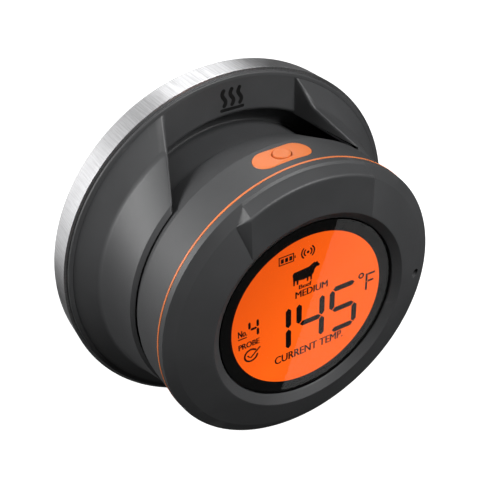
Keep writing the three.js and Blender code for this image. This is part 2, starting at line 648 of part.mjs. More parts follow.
function accentRing() {
  const gap = SEAM_GAP / 2;
  return ring(innerRadius - EDGE, HEAD_RADIUS + ACCENT_PROUD, ringDepth + gap, bezelRear - gap);
}

// ---- Head: button ----

// The coloured pad, curved to the head's side, with a hole for the button.
function buttonPad() {
  const sheet = ring(padInner, padOuter, sheetRear, sheetFront);
  const outline = obround(PAD_LENGTH, PAD_WIDTH, 0, padOuter + THROUGH);
  const hole = buttonBar(BUTTON_RADIUS + FIT, padInner - THROUGH, padOuter + THROUGH);
  return sheet.intersect(outline).subtract(hole);
}

// The button: a cap, a flange that keeps it in, and a stem over the switch.
function powerButton() {
  const middle = (flangeBottom + flangeTop) / 2;
  const cap = buttonBar(BUTTON_RADIUS, middle, buttonTop);
  const flange = buttonBar(BUTTON_RADIUS + BUTTON_FLANGE, flangeBottom, flangeTop);
  const stem = spoke(BUTTON_RADIUS / 2, stemBottom, middle, BUTTON_TURN, buttonDepth);
  return joined([cap, flange, stem]);
}

// A push switch on the board's rear face, its plunger towards the button.
function tactSwitch() {
  const half = SWITCH_SIZE / 2;
  const bodyTop = plungerTop - EDGE;
  const front = boardRear - FIT;
  const box = new THREE.BoxGeometry(SWITCH_SIZE, SWITCH_HEIGHT, half);
  box.translate(0, -(front - SWITCH_HEIGHT / 2), bodyTop - half / 2).rotateY(BUTTON_TURN);
  const plunger = spoke(PLUNGER_RADIUS, bodyTop - THROUGH, plungerTop, BUTTON_TURN, buttonDepth);
  return solid(box).add(plunger);
}

// ---- Head: display ----

// A cup that carries the light guide and the display glass on the board.
function displayHolder() {
  const outer = glassRadius + FIT + HOLDER_FLOOR;
  const floorRear = boardFront + FIT;
  const floorFront = Math.min(floorRear + HOLDER_FLOOR, guideRear - FIT);
  return turned([
    [0, floorRear], [outer, floorRear], [outer, holderTop], [glassRadius + FIT, holderTop],
    [glassRadius + FIT, floorFront], [0, floorFront],
  ], INNER_SIDES);
}

function addDisplay() {
  place(head, "display_lens", disc(lensRadius, lensRear, lensFront), WINDOW);
  const sealFront = lensRear - FIT;
  const seal = ring(glassRadius + 2 * FIT, lensRadius, sealFront - SEAL_THICKNESS, sealFront);
  place(head, "lens_seal", seal, SILICONE);
  place(head, "lcd_panel", disc(glassRadius, panelRear, panelFront, INNER_SIDES), DISPLAY);
  place(head, "light_guide", disc(glassRadius, guideRear, guideFront, INNER_SIDES), WHITE_PLASTIC);
  place(head, "lcd_holder", displayHolder(), WHITE_PLASTIC);
}

// ---- Head: board ----

// The round board, notched for the bezel's screw posts and for the button.
function mainBoard() {
  const cutRear = boardRear - THROUGH;
  const cutFront = boardFront + THROUGH;
  const notches = headPosts.map(([x, z]) => post(x, z, postRadius + BOARD_GAP, cutRear, cutFront));
  const half = BUTTON_RADIUS + BUTTON_FLANGE + BOARD_GAP;
  const buttonX = innerRadius * Math.sin(BUTTON_TURN);
  const room = block(buttonX - half, buttonX + half, cutRear, cutFront, plungerTop, innerRadius);
  return cut(disc(innerRadius - BOARD_GAP, boardRear, boardFront), [...notches, room]);
}

function addBoard() {
  place(head, "main_board", mainBoard(), BOARD_GREEN);

  const chipFront = boardRear - FIT;
  const chipRight = -(wellWallRadius + BOARD_GAP);
  const halfChip = CHIP_SIZE / 2;
  const chipRear = chipFront - CHIP_THICKNESS;
  const chip = block(chipRight - CHIP_SIZE, chipRight, chipRear, chipFront, -halfChip, halfChip);
  place(head, "processor_chip", chip, BLACK_PLASTIC);

  const partRear = boardFront + FIT;
  const holderEdge = glassRadius + FIT + HOLDER_FLOOR + BOARD_GAP;
  const radioFront = partRear + RADIO_THICKNESS;
  const halfRadio = RADIO_LENGTH / 2;
  const shellEdge = innerRadius - EDGE - BOARD_GAP;
  const radioRoom = Math.sqrt(shellEdge ** 2 - halfRadio ** 2) - holderEdge;
  const radioLeft = -holderEdge - Math.min(RADIO_WIDTH, radioRoom);
  const radio = block(radioLeft, -holderEdge, partRear, radioFront, -halfRadio, halfRadio);
  place(head, "radio_module", radio, ZINC);

  const buzzerRoom = (shellEdge - holderEdge - EDGE) / 2 - FIT;
  const buzzerRadius = Math.min(BUZZER_RADIUS, buzzerRoom);
  const buzzerX = holderEdge + buzzerRadius + EDGE;
  const buzzerFront = partRear + BUZZER_THICKNESS;
  const buzzer = post(buzzerX, SOUND_HOLE_Z, buzzerRadius, partRear, buzzerFront, BAR_SIDES);
  place(head, "buzzer", buzzer, BLACK_PLASTIC);
}

// ---- Head: battery ----

// One cell along x, its terminal at the +x end when facing is 1.
function cell(facing) {
  const halfBody = CELL_LENGTH / 2;
  const body = new THREE.CylinderGeometry(CELL_RADIUS, CELL_RADIUS, CELL_LENGTH, BAR_SIDES);
  body.rotateZ(Math.PI / 2);
  const cap = new THREE.CylinderGeometry(TERMINAL_RADIUS, TERMINAL_RADIUS, TERMINAL_LENGTH * 2, ROD_SIDES);
  return solid(body).add(solid(cap.rotateZ(Math.PI / 2).translate(facing * halfBody, 0, 0)));
}

// A cone-shaped contact spring along x, narrowing from the wall to the cell.
function contactSpring(facing, from, to) {
  const points = [];
  const steps = SPRING_TURNS * ROD_SIDES;
  for (let i = 0; i <= steps; i++) {
    const share = i / steps;
    const turn = share * SPRING_TURNS * 2 * Math.PI;
    const reach = SPRING_WIDE + (SPRING_NARROW - SPRING_WIDE) * share;
    const x = to - SPRING_WIRE - (to - from - 2 * SPRING_WIRE) * share;
    points.push(new THREE.Vector3(facing * x, reach * Math.cos(turn), reach * Math.sin(turn)));
  }
  const wire = new THREE.Shape();
  wire.absarc(0, 0, SPRING_WIRE, 0, 2 * Math.PI, false);
  const extrudePath = new THREE.CatmullRomCurve3(points);
  return solid(new THREE.ExtrudeGeometry(wire, { steps, curveSegments: WIRE_SEGMENTS, extrudePath }));
}

// A sheet contact with a pressed dome, along x.
function contactTab(facing, from, to) {
  const plate = new THREE.BoxGeometry(CONTACT_THICKNESS, TAB_SIZE, TAB_SIZE);
  const dome = new THREE.CylinderGeometry(DOME_RADIUS, DOME_RADIUS, to - from, ROD_SIDES);
  dome.rotateZ(Math.PI / 2);
  plate.translate(facing * (to - CONTACT_THICKNESS / 2), 0, 0);
  return solid(plate).add(solid(dome.translate((facing * (from + to)) / 2, 0, 0)));
}

// A tray over the front of the cells, with walls round them.
function batteryTray() {
  const floor = disc(wellRadius - FIT, trayFloorRear, trayFloorFront);
  const wallRear = cellDepth - CELL_RADIUS / 2;
  const endInner = bayHalf + CONTACT_ROOM;
  const endHalf = cellOffset + TRAY_END_MARGIN;
  const sideInner = cellOffset + CELL_RADIUS + FIT;
  const sideHalf = (CELL_LENGTH - CELL_RADIUS) / 2;
  const walls = [-1, 1].flatMap((side) => {
    const ends = [side * endInner, side * (endInner + TRAY_WALL)].sort((a, b) => a - b);
    const sides = [side * sideInner, side * (sideInner + TRAY_WALL)].sort((a, b) => a - b);
    return [
      block(ends[0], ends[1], wallRear, trayFloorFront - EDGE, -endHalf, endHalf),
      block(-sideHalf, sideHalf, wallRear, trayFloorFront - EDGE, sides[0], sides[1]),
    ];
  });
  return joined([floor, ...walls]).intersect(disc(wellRadius - FIT, wallRear, trayFloorFront));
}

function addBattery() {
  place(head, "battery_tray", batteryTray(), BLACK_PLASTIC);
  [1, -1].forEach((side, i) => {
    const group = new THREE.Group();
    group.position.set(0, -cellDepth, side * cellOffset);
    head.add(group);
    place(group, `battery_cell_${i + 1}`, cell(side), CELL_WRAP);
    const springFrom = CELL_LENGTH / 2 + FIT;
    const wall = bayHalf + CONTACT_ROOM - FIT;
    place(group, `battery_spring_${i + 1}`, contactSpring(-side, springFrom, wall), BRASS);
    place(group, `battery_contact_${i + 1}`, contactTab(side, bayHalf + FIT, wall), BRASS);
  });
}

// ---- Head: jacks ----

// A probe jack standing out from the axis, with its bore at the head's side.
function jack() {
  const mouth = shoulderRadius - FIT;
  const rear = wellWallRadius + BOARD_GAP;
  const boreEnd = mouth - JACK_BORE_LENGTH;
  const profile = [
    [0, rear], [JACK_RADIUS, rear], [JACK_RADIUS, mouth],
    [JACK_BORE, mouth], [JACK_BORE, boreEnd], [0, boreEnd],
  ];
  const points = profile.map(([radius, out]) => new THREE.Vector2(radius, out));
  return solid(new THREE.LatheGeometry(points, ROD_SIDES + 2).rotateX(Math.PI / 2));
}

function addJacks() {
  const made = jack();
  jackAngles.forEach((angle, i) => {
    const mesh = place(head, `probe_jack_${i + 1}`, made, BLACK_PLASTIC);
    mesh.position.y = -jackDepth;
    mesh.rotation.y = angle;
  });
}

function addHead() {
  place(head, "rear_housing", rearHousing(), CHARCOAL);
  place(head, "front_bezel", frontBezel(), CHARCOAL);
  place(head, "accent_ring", accentRing(), ORANGE);
  place(head, "button_pad", buttonPad(), ORANGE);
  place(head, "power_button", powerButton(), ORANGE);
  place(head, "tact_switch", tactSwitch(), BLACK_PLASTIC);
  const keeper = ring(keeperInner, keeperOuter, DOCK_DEPTH, DOCK_DEPTH + KEEPER_THICKNESS);
  place(head, "keeper_ring", keeper, ZINC);
  place(head, "battery_cover", batteryCover(), BLACK_PLASTIC);
  place(head, "cover_seal", coverSeal(), SILICONE);
  const screwRear = headScrewSeat - FIT - SCREW_HEAD_HEIGHT;
  placeAround(head, "housing_screw", screw(screwRear, HOUSING_SCREW_LENGTH), ZINC, headPosts);
  addDisplay();
  addBoard();
  addBattery();
  addJacks();
}

addBase();
addHead();

export default thermometer;
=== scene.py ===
import json
import math

import bmesh
import bpy
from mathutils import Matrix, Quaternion, Vector


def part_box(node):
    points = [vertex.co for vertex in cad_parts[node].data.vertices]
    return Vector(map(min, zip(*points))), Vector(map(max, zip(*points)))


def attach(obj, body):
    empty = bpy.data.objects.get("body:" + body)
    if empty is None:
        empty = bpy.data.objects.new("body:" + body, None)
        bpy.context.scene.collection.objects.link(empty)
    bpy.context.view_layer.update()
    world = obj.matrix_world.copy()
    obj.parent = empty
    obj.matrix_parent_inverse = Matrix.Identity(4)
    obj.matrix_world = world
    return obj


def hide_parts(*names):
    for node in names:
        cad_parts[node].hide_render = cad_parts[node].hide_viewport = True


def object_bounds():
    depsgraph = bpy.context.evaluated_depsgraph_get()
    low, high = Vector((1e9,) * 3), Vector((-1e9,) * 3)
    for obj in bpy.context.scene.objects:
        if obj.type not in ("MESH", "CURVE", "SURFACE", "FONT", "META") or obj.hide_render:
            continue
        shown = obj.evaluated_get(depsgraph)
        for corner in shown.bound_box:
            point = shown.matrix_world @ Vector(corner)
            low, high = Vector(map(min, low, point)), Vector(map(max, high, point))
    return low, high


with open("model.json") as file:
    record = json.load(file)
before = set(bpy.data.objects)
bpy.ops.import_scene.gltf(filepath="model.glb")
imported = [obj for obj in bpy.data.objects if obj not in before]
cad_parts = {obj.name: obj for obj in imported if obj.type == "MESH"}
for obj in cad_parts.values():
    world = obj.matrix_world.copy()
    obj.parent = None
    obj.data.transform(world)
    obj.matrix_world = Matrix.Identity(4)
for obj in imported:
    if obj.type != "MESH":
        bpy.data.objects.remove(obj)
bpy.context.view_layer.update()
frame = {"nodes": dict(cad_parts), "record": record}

# ---- Back plate ----
# The real plate is an injection-moulded disc of black plastic that closes the base from behind.
# It is recessed for the grip pad, and four screws in counterbored wells hold it to the housing.
MM = 0.001
TURN = 2 * math.pi
PLATE_EDGE_FILLET = 0.35
SCREW_WELL_RADIUS = 2.4
SCREW_HOLE_RADIUS = 1.3


def reach(node):
    """A round CAD node's outer radius, rear depth and front depth, in millimetres."""
    low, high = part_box(node)
    return high.x / MM, -high.y / MM, -low.y / MM


def rounded(corners):
    """A profile of (radius, depth, fillet) corners as (radius, depth) points, each corner turned by an arc."""
    points = []
    for i, (radius, depth, fillet) in enumerate(corners):
        here = Vector((radius, depth))
        if fillet <= 0 or i in (0, len(corners) - 1):
            points.append(here)
            continue
        back = Vector(corners[i - 1][:2]) - here
        ahead = Vector(corners[i + 1][:2]) - here
        half = back.angle(ahead) / 2
        run = min(fillet / math.tan(half), back.length * 0.48, ahead.length * 0.48)
        start = here + back.normalized() * run
        end = here + ahead.normalized() * run
        steps = 3 if fillet < 0.5 else 6
        for k in range(steps + 1):
            t = k / steps
            points.append(start * (1 - t) ** 2 + here * 2 * t * (1 - t) + end * t**2)
    return points


def at(radius, depth, angle):
    """The place at a radius and a depth, both in millimetres, and an angle clockwise from 12 o'clock."""
    return Vector((radius * math.sin(angle), -depth, radius * math.cos(angle))) * MM


def piece_from(name, mesh_maker, crease=32):
    """A new piece whose mesh is made by a function that fills a bmesh."""
    work = bmesh.new()
    mesh_maker(work)
    bmesh.ops.remove_doubles(work, verts=work.verts, dist=2e-7)
    bmesh.ops.dissolve_degenerate(work, edges=work.edges, dist=1e-7)
    bmesh.ops.recalc_face_normals(work, faces=work.faces)
    mesh = bpy.data.meshes.new(name)
    work.to_mesh(mesh)
    work.free()
    piece = bpy.data.objects.new(name, mesh)
    bpy.context.scene.collection.objects.link(piece)
    smooth(piece, crease)
    return piece


def smooth(piece, crease=32):
    """Smooth shading with crisp edges where faces meet at more than the crease angle."""
    piece.data.shade_smooth()
    piece.data.set_sharp_from_angle(angle=math.radians(crease))
    even = piece.modifiers.new("even_normals", "WEIGHTED_NORMAL")
    even.keep_sharp = True


def skin(work, rows, closed=False):
    """Quads between neighbouring rows of points."""
    made = [[work.verts.new(point) for point in row] for row in rows]
    for one, two in zip(made, made[1:]):
        count = len(one)
        for j in range(count if closed else count - 1):
            k = (j + 1) % count
            work.faces.new((one[j], one[k], two[k], two[j]))


def turned(name, corners, sides=192, loop=True):
    """A piece turned about the object's axis from a profile of (radius, depth, fillet) corners."""
    profile = rounded(corners)
    if loop:
        profile.append(profile[0].copy())

    def fill(work):
        rows = [[at(p.x, p.y, TURN * j / sides) for j in range(sides)] for p in profile]
        skin(work, rows, closed=True)

    return piece_from(name, fill)


def rod(name, start, end, radius, sides=32):
    """A closed round rod between two points in metres, for cutting holes."""
    axis = (end - start).normalized()
    side = axis.orthogonal().normalized()
    across = axis.cross(side)

    def fill(work):
        ring = [math.cos(TURN * j / sides) * side + math.sin(TURN * j / sides) * across for j in range(sides)]
        rows = [[start + 0 * r for r in ring], [start + radius * MM * r for r in ring],
                [end + radius * MM * r for r in ring], [end + 0 * r for r in ring]]
        skin(work, rows, closed=True)

    return piece_from(name, fill)


def cut_away(piece, cutters):
    """Takes every cutter out of a piece, then removes the cutters."""
    piece.modifiers.clear()
    for cutter in cutters:
        cutter.modifiers.clear()
        hole = piece.modifiers.new("hole", "BOOLEAN")
        hole.solver = "EXACT"
        hole.object = cutter
    graph = bpy.context.evaluated_depsgraph_get()
    made = bpy.data.meshes.new_from_object(piece.evaluated_get(graph))
    piece.modifiers.clear()
    piece.data = made
    for cutter in cutters:
        bpy.data.objects.remove(cutter)
    smooth(piece)


def middle(node):
    """The middle of a CAD node's box."""
    low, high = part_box(node)
    return (low + high) / 2


plate_radius, plate_rear = reach("back_plate")[:2]
grip_radius, grip_rear, grip_front = reach("grip_pad")
magnet_rear = reach("lid_magnet_1")[1]
plate_front = magnet_rear - 0.3
recess = grip_front + 0.3
plate = turned("back_plate_moulding", [
    (0, recess, 0), (grip_radius + 0.3, recess, 0.2), (grip_radius + 0.3, plate_rear, PLATE_EDGE_FILLET),
    (plate_radius, plate_rear, PLATE_EDGE_FILLET), (plate_radius, plate_front, 0.2), (0, plate_front, 0),
], loop=False)
screw_places = [middle(f"back_screw_{i}") for i in range(1, 5)]
wells = []
for place in screw_places:
    foot = Vector((place.x, -recess * MM / 2, place.z))
    wells.append(rod("well", foot, foot + Vector((0, -2 * MM, 0)), SCREW_HOLE_RADIUS))
cut_away(plate, wells)


def effect(name, inputs, outputs):
    """An empty shader node group, with named number and colour sockets."""
    group = bpy.data.node_groups.new(name, "ShaderNodeTree")
    for socket, kind, value in inputs:
        made = group.interface.new_socket(socket, in_out="INPUT", socket_type=kind)
        made.default_value = value
    for socket, kind in outputs:
        group.interface.new_socket(socket, in_out="OUTPUT", socket_type=kind)
    return group, group.nodes.new("NodeGroupInput"), group.nodes.new("NodeGroupOutput")


def add(tree, kind, **settings):
    """A node in a tree, with its settings, and with plain values for its input sockets."""
    node = tree.nodes.new(kind)
    for key, value in settings.items():
        if hasattr(node, key):
            setattr(node, key, value)
        else:
            node.inputs[key].default_value = value
    return node


NUMBER = "NodeSocketFloat"
COLOUR = "NodeSocketColor"


def mix_colour(tree, share, one, two):
    """Links a share and two colours, each a socket or a plain colour, into a mix and returns its colour."""
    node = tree.nodes.new("ShaderNodeMix")
    node.data_type = "RGBA"
    for socket, value in ((node.inputs[0], share), (node.inputs[6], one), (node.inputs[7], two)):
        if isinstance(value, bpy.types.NodeSocket):
            tree.links.new(value, socket)
        else:
            socket.default_value = value
    return node.outputs[2]


def spread(tree, value, low, high, to_low=0.0, to_high=1.0):
    """A number taken from one range to another and held in it."""
    node = add(tree, "ShaderNodeMapRange", clamp=True)
    node.inputs[1].default_value = low
    node.inputs[2].default_value = high
    node.inputs[3].default_value = to_low
    node.inputs[4].default_value = to_high
    tree.links.new(value, node.inputs[0])
    return node.outputs[0]


def moulded_effect():
    """Spark-eroded mould texture, the slow mottle of a filled plastic, and a lighter colour on convex edges that is
    partly wear and partly a painted edge highlight.
    """
    tree, given, made = effect(
        "moulded_surface",
        [("Colour", COLOUR, (0.05, 0.05, 0.05, 1)), ("Worn colour", COLOUR, (0.2, 0.2, 0.2, 1)),
         ("Roughness", NUMBER, 0.5), ("Grain scale", NUMBER, 3200.0), ("Wear and highlight", NUMBER, 0.5)],
        [("Colour", COLOUR), ("Roughness", NUMBER), ("Height", NUMBER)])
    place = add(tree, "ShaderNodeTexCoord")
    grain = add(tree, "ShaderNodeTexNoise", Detail=3.0, Roughness=0.6)
    tree.links.new(place.outputs["Object"], grain.inputs["Vector"])
    tree.links.new(given.outputs["Grain scale"], grain.inputs["Scale"])
    mottle = add(tree, "ShaderNodeTexNoise", Scale=55.0, Detail=4.0)
    tree.links.new(place.outputs["Object"], mottle.inputs["Vector"])
    # Convex edges are painted lighter: partly wear, partly a painted edge highlight.
    edge = spread(tree, add(tree, "ShaderNodeNewGeometry").outputs["Pointiness"], 0.52, 0.62)
    scuff = spread(tree, mottle.outputs["Fac"], 0.38, 0.62)
    worn_and_highlit = add(tree, "ShaderNodeMath", operation="MULTIPLY")
    tree.links.new(edge, worn_and_highlit.inputs[0])
    tree.links.new(scuff, worn_and_highlit.inputs[1])
    amount = add(tree, "ShaderNodeMath", operation="MULTIPLY")
    tree.links.new(worn_and_highlit.outputs[0], amount.inputs[0])
    tree.links.new(given.outputs["Wear and highlight"], amount.inputs[1])
    darker = add(tree, "ShaderNodeHueSaturation", Value=0.86)
    tree.links.new(given.outputs["Colour"], darker.inputs["Color"])
    mottled = mix_colour(tree, scuff, darker.outputs[0], given.outputs["Colour"])
    tree.links.new(mix_colour(tree, amount.outputs[0], mottled, given.outputs["Worn colour"]), made.inputs["Colour"])
    uneven = spread(tree, grain.outputs["Fac"], 0.3, 0.7, -0.05, 0.05)
    rough = add(tree, "ShaderNodeMath", operation="ADD")
    tree.links.new(uneven, rough.inputs[0])
    tree.links.new(given.outputs["Roughness"], rough.inputs[1])
    tree.links.new(rough.outputs[0], made.inputs["Roughness"])
    tree.links.new(grain.outputs["Fac"], made.inputs["Height"])
    return tree


MOULDED = moulded_effect()


def surfaced(name, group, values, metallic=0.0, bump=0.3, bump_depth=0.00003, **shader_values):
    """A material whose colour, roughness and bump come from an effect, with plain values on its shader."""
    material = bpy.data.materials.new(name)
    material.use_nodes = True
    tree = material.node_tree
    shader = tree.nodes["Principled BSDF"]
    placed = tree.nodes.new("ShaderNodeGroup")
    placed.node_tree = group
    for key, value in values.items():
        placed.inputs[key].default_value = value
    raised = add(tree, "ShaderNodeBump", Strength=bump, Distance=bump_depth)
    tree.links.new(placed.outputs["Height"], raised.inputs["Height"])
    tree.links.new(raised.outputs[0], shader.inputs["Normal"])
    tree.links.new(placed.outputs["Colour"], shader.inputs["Base Color"])
    tree.links.new(placed.outputs["Roughness"], shader.inputs["Roughness"])
    shader.inputs["Metallic"].default_value = metallic
    for key, value in shader_values.items():
        shader.inputs[key.replace("_", " ")].default_value = value
    return material


def moulded(name, colour, worn_and_highlit, roughness, grain=3200.0, wear_and_highlight=0.5, **more):
    """A moulded plastic or rubber."""
    values = {"Colour": (*colour, 1), "Worn colour": (*worn_and_highlit, 1), "Roughness": roughness,
              "Grain scale": grain, "Wear and highlight": wear_and_highlight}
    return surfaced(name, MOULDED, values, **more)


def dress(piece, material):
    """Gives a piece or a CAD node one material for all its faces."""
    piece.data.materials.clear()
    piece.data.materials.append(material)
    for face in piece.data.polygons:
        face.material_index = 0


BLACK_PLASTIC = moulded("black_moulding", (0.012, 0.0125, 0.0135), (0.06, 0.06, 0.062), 0.52)
dress(plate, BLACK_PLASTIC)
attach(plate, "base")
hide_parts("back_plate")

# ---- Grip pad ----
# The real pad is a moulded silicone disc with fine concentric ribs, bonded in the plate's recess.
# It keeps the metal case off hot enamel and stops the base from sliding on the lid.
RIB_PITCH = 2.6
RIB_DEPTH = 0.35
RIB_CLEAR = 9.0


def grip_profile():
    """The pad's half section, with shallow grooves between its ribs."""
    corners = [(0, grip_front, 0), (grip_radius, grip_front, 0.15), (grip_radius, grip_rear, 0.3)]
    radius = grip_radius - 1.6
    while radius > RIB_CLEAR:
        corners += [(radius, grip_rear, 0.1), (radius - 0.25, grip_rear + RIB_DEPTH, 0.1),
                    (radius - 0.95, grip_rear + RIB_DEPTH, 0.1), (radius - 1.2, grip_rear, 0.1)]
        radius -= RIB_PITCH
    return corners + [(0, grip_rear, 0)]


grip = turned("grip_pad_ribbed", grip_profile(), loop=False)
SILICONE = moulded("black_silicone", (0.016, 0.016, 0.0175), (0.05, 0.05, 0.05), 0.72, grain=1500.0, wear_and_highlight=0.3,
                   Sheen_Weight=0.15)
dress(grip, SILICONE)
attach(grip, "base")
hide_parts("grip_pad")

# ---- Magnets, yoke and back screws ----
# Four nickel-plated disc magnets hold the base on a steel lid, and a zinc-plated yoke closes their field.
# Four small magnets under the drum hold the head. The screws are zinc-plated self-tappers.


def metal_effect():
    """Cut or plated metal: fine turning lines, a cloudy plating and faint stains."""
    tree, given, made = effect(
        "plated_metal",
        [("Colour", COLOUR, (0.6, 0.6, 0.6, 1)), ("Roughness", NUMBER, 0.3), ("Line scale", NUMBER, 2500.0)],
        [("Colour", COLOUR), ("Roughness", NUMBER), ("Height", NUMBER)])
    place = add(tree, "ShaderNodeTexCoord")
    lines = add(tree, "ShaderNodeTexNoise", Detail=2.0)
    tree.links.new(place.outputs["Object"], lines.inputs["Vector"])
    tree.links.new(given.outputs["Line scale"], lines.inputs["Scale"])
    cloud = add(tree, "ShaderNodeTexNoise", Scale=180.0, Detail=5.0)
    tree.links.new(place.outputs["Object"], cloud.inputs["Vector"])
    stain = spread(tree, cloud.outputs["Fac"], 0.35, 0.7)
    dull = add(tree, "ShaderNodeHueSaturation", Value=0.8)
    tree.links.new(given.outputs["Colour"], dull.inputs["Color"])
    tree.links.new(mix_colour(tree, stain, given.outputs["Colour"], dull.outputs[0]), made.inputs["Colour"])
    uneven = spread(tree, cloud.outputs["Fac"], 0.3, 0.7, -0.06, 0.1)
    rough = add(tree, "ShaderNodeMath", operation="ADD")
    tree.links.new(uneven, rough.inputs[0])
    tree.links.new(given.outputs["Roughness"], rough.inputs[1])
    tree.links.new(rough.outputs[0], made.inputs["Roughness"])
    tree.links.new(lines.outputs["Fac"], made.inputs["Height"])
    return tree


METAL = metal_effect()


def plated(name, colour, roughness, lines=2500.0):
    """A plated or bare metal."""
    values = {"Colour": (*colour, 1), "Roughness": roughness, "Line scale": lines}
    return surfaced(name, METAL, values, metallic=1.0, bump=0.2)


def dress_nodes(material, *names):
    """Gives CAD nodes that stay in view their material."""
    for name in names:
        dress(frame["nodes"][name], material)


NICKEL = plated("nickel_plate", (0.62, 0.6, 0.56), 0.2)
ZINC = plated("zinc_plate", (0.55, 0.57, 0.6), 0.34)
dress_nodes(NICKEL, *[f"lid_magnet_{i}" for i in range(1, 5)], *[f"dock_magnet_{i}" for i in range(1, 5)])
dress_nodes(ZINC, "magnet_yoke", *[f"back_screw_{i}" for i in range(1, 5)])

# ---- Base housing ----
# The real housing is one glass-filled nylon moulding: a conical flange, a cup that the head docks in,
# a low drum inside the cup, and a drafted notch at 12 o'clock where a finger gets behind the head.
LIP_WIDTH = 1.0
LIP_RISE = 1.1
CONE_RISE = 5.66
BOSS_FLARE = 3.35
CUP_BEVEL = 1.2
DRUM_INSET = 2.2
SHELL_WALL = 2.2
NOTCH_DRAFT = 0.45
NOTCH_EDGE = 1.1
LIP_LAP = 0.26
NOTCH_COLUMNS = 48
BOSS_COLUMNS = 208
BORE_FILLET = 2.6
HEAD_TAPER = 12.35
HEAD_TAPER_IN = 3.75
HEAD_SIDE_DRAFT = 0.15

body_radius, body_rear, cup_front = reach("base_housing")
head_radius, head_rear, seam_rear = reach("rear_housing")
rim_radius, rim_rear, rim_front = reach("steel_rim")
notch_half = frame["record"]["physics"]["openings"][0]["box_m"][1][0] / MM + 1.0
notch_floor = rim_front + LIP_RISE
flange_radius = body_radius - LIP_WIDTH
drum_front = head_rear - 0.3
head_back_radius = head_radius - HEAD_SIDE_DRAFT - HEAD_TAPER_IN
drum_radius = head_back_radius - DRUM_INSET
cup_radius = head_back_radius + (cup_front - head_rear) * HEAD_TAPER_IN / HEAD_TAPER + 0.3
boss_radius = cup_radius + CUP_BEVEL
groove_floor = plate_front + 1.5
cone_top = notch_floor + CONE_RISE


def notch_angle(point):
    """The angle from 12 o'clock at which the notch's wall crosses a profile point's circle."""
    half = notch_half + NOTCH_DRAFT * (point.y - notch_floor)
    return math.asin(half / point.x)


def fill_housing(work):
    """The housing's mesh: common rows outside and inside, with the cup's rows and the notch's rows between."""
    rear = [Vector(p) for p in ((0, drum_front - SHELL_WALL), (drum_radius - SHELL_WALL, drum_front - SHELL_WALL),
            (drum_radius - SHELL_WALL, plate_front + 0.3), (cup_radius + SHELL_WALL, plate_front + 0.3),
            (cup_radius + SHELL_WALL, notch_floor - SHELL_WALL), (body_radius - SHELL_WALL, notch_floor - SHELL_WALL),
            (body_radius - SHELL_WALL, body_rear))]
    lip = rounded([(body_radius - SHELL_WALL, body_rear, 0), (body_radius, body_rear, 0.3),
                   (body_radius, rim_front - 0.6, 0.1), (body_radius + LIP_LAP, rim_front - 0.3, 0.1),
                   (body_radius + LIP_LAP, notch_floor - 0.1, 0.6), (flange_radius + 0.1, notch_floor + 0.05, 0.25),
                   (flange_radius, notch_floor, 0)])
    boss = rounded([(flange_radius, notch_floor, 0), (boss_radius + BOSS_FLARE, cone_top, 3.4),
                    (boss_radius, cup_front - CUP_BEVEL, 0.4), (cup_radius + 0.1, cup_front, 0.3),
                    (cup_radius, cup_front - 0.6, 0.2), (cup_radius, notch_floor - BORE_FILLET, 0)])
    floor = rounded([(flange_radius, notch_floor, 0), (cup_radius, notch_floor, BORE_FILLET),
                     (cup_radius, notch_floor - BORE_FILLET, 0)])
    inside = rounded([(cup_radius, notch_floor - BORE_FILLET, 0), (cup_radius, groove_floor, 0.8),
                      (drum_radius, groove_floor, 0.8), (drum_radius, drum_front, 0.7), (0, drum_front, 0)])

    def across(point, notch_part, boss_part, edge):
        """A row's columns: over the notch, over the rest of the circle, or both."""
        angle = notch_angle(edge)
        row = []
        if notch_part:
            row += [at(point.x, point.y, angle * (2 * j / NOTCH_COLUMNS - 1)) for j in range(NOTCH_COLUMNS + 1)]
        if boss_part:
            span = TURN - 2 * angle
            columns = [at(point.x, point.y, angle + span * j / BOSS_COLUMNS) for j in range(BOSS_COLUMNS + 1)]
            row += columns[1:-1] if notch_part else columns
        return row

    skin(work, [across(p, True, True, boss[0]) for p in rear + lip[1:]], closed=True)
    skin(work, [across(p, True, True, boss[-1]) for p in inside], closed=True)
    floor_rows = [across(p, True, False, p) for p in floor]
    skin(work, floor_rows)

    wall_normal = Vector((-1, -NOTCH_DRAFT, 0)).normalized()
    rows = []
    for i, point in enumerate(boss):
        ends = min((point - boss[0]).length, (point - boss[-1]).length)
        round_off = NOTCH_EDGE * min(1.0, ends / 2.0)
        along = boss[min(i + 1, len(boss) - 1)] - boss[max(i - 1, 0)]
        angle = notch_angle(point)
        inset = round_off / point.x
        outward = Vector((along.y * math.sin(angle), along.x, along.y * math.cos(angle))).normalized()
        facing = (outward - outward.dot(wall_normal) * wall_normal).normalized()
        corner = at(point.x, point.y, angle)
        start = at(point.x, point.y, angle + inset)
        low = corner - facing * round_off * MM
        arc = [low * (1 - t) ** 2 + corner * 2 * t * (1 - t) + start * t**2 for t in (0, 0.25, 0.5, 0.75)]
        span = TURN - 2 * (angle + inset)
        columns = [at(point.x, point.y, angle + inset + span * j / BOSS_COLUMNS) for j in range(BOSS_COLUMNS + 1)]
        rows.append(arc + columns + [Vector((-p.x, p.y, p.z)) for p in reversed(arc)])
    skin(work, rows)
    for end in (0, -1):
        outline = [row[end] for row in rows] + [row[-1 - end] for row in reversed(floor_rows)]
        kept = [p for k, p in enumerate(outline) if (p - outline[k - 1]).length > 1e-7]
        work.faces.new([work.verts.new(p) for p in kept])


housing = piece_from("base_moulding", fill_housing)
CHARCOAL = moulded("charcoal_moulding", (0.062, 0.063, 0.065), (0.16, 0.16, 0.16), 0.5, wear_and_highlight=0.35)
dress(housing, CHARCOAL)
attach(housing, "base")
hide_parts("base_housing")

# ---- Steel rim ----
# The real rim is a drawn band of stainless steel, brushed across its width and crimped in behind the base.
# Its front edge is bright where the sheet was trimmed.
SHEET = 0.9
RIM_RETURN = 5.5

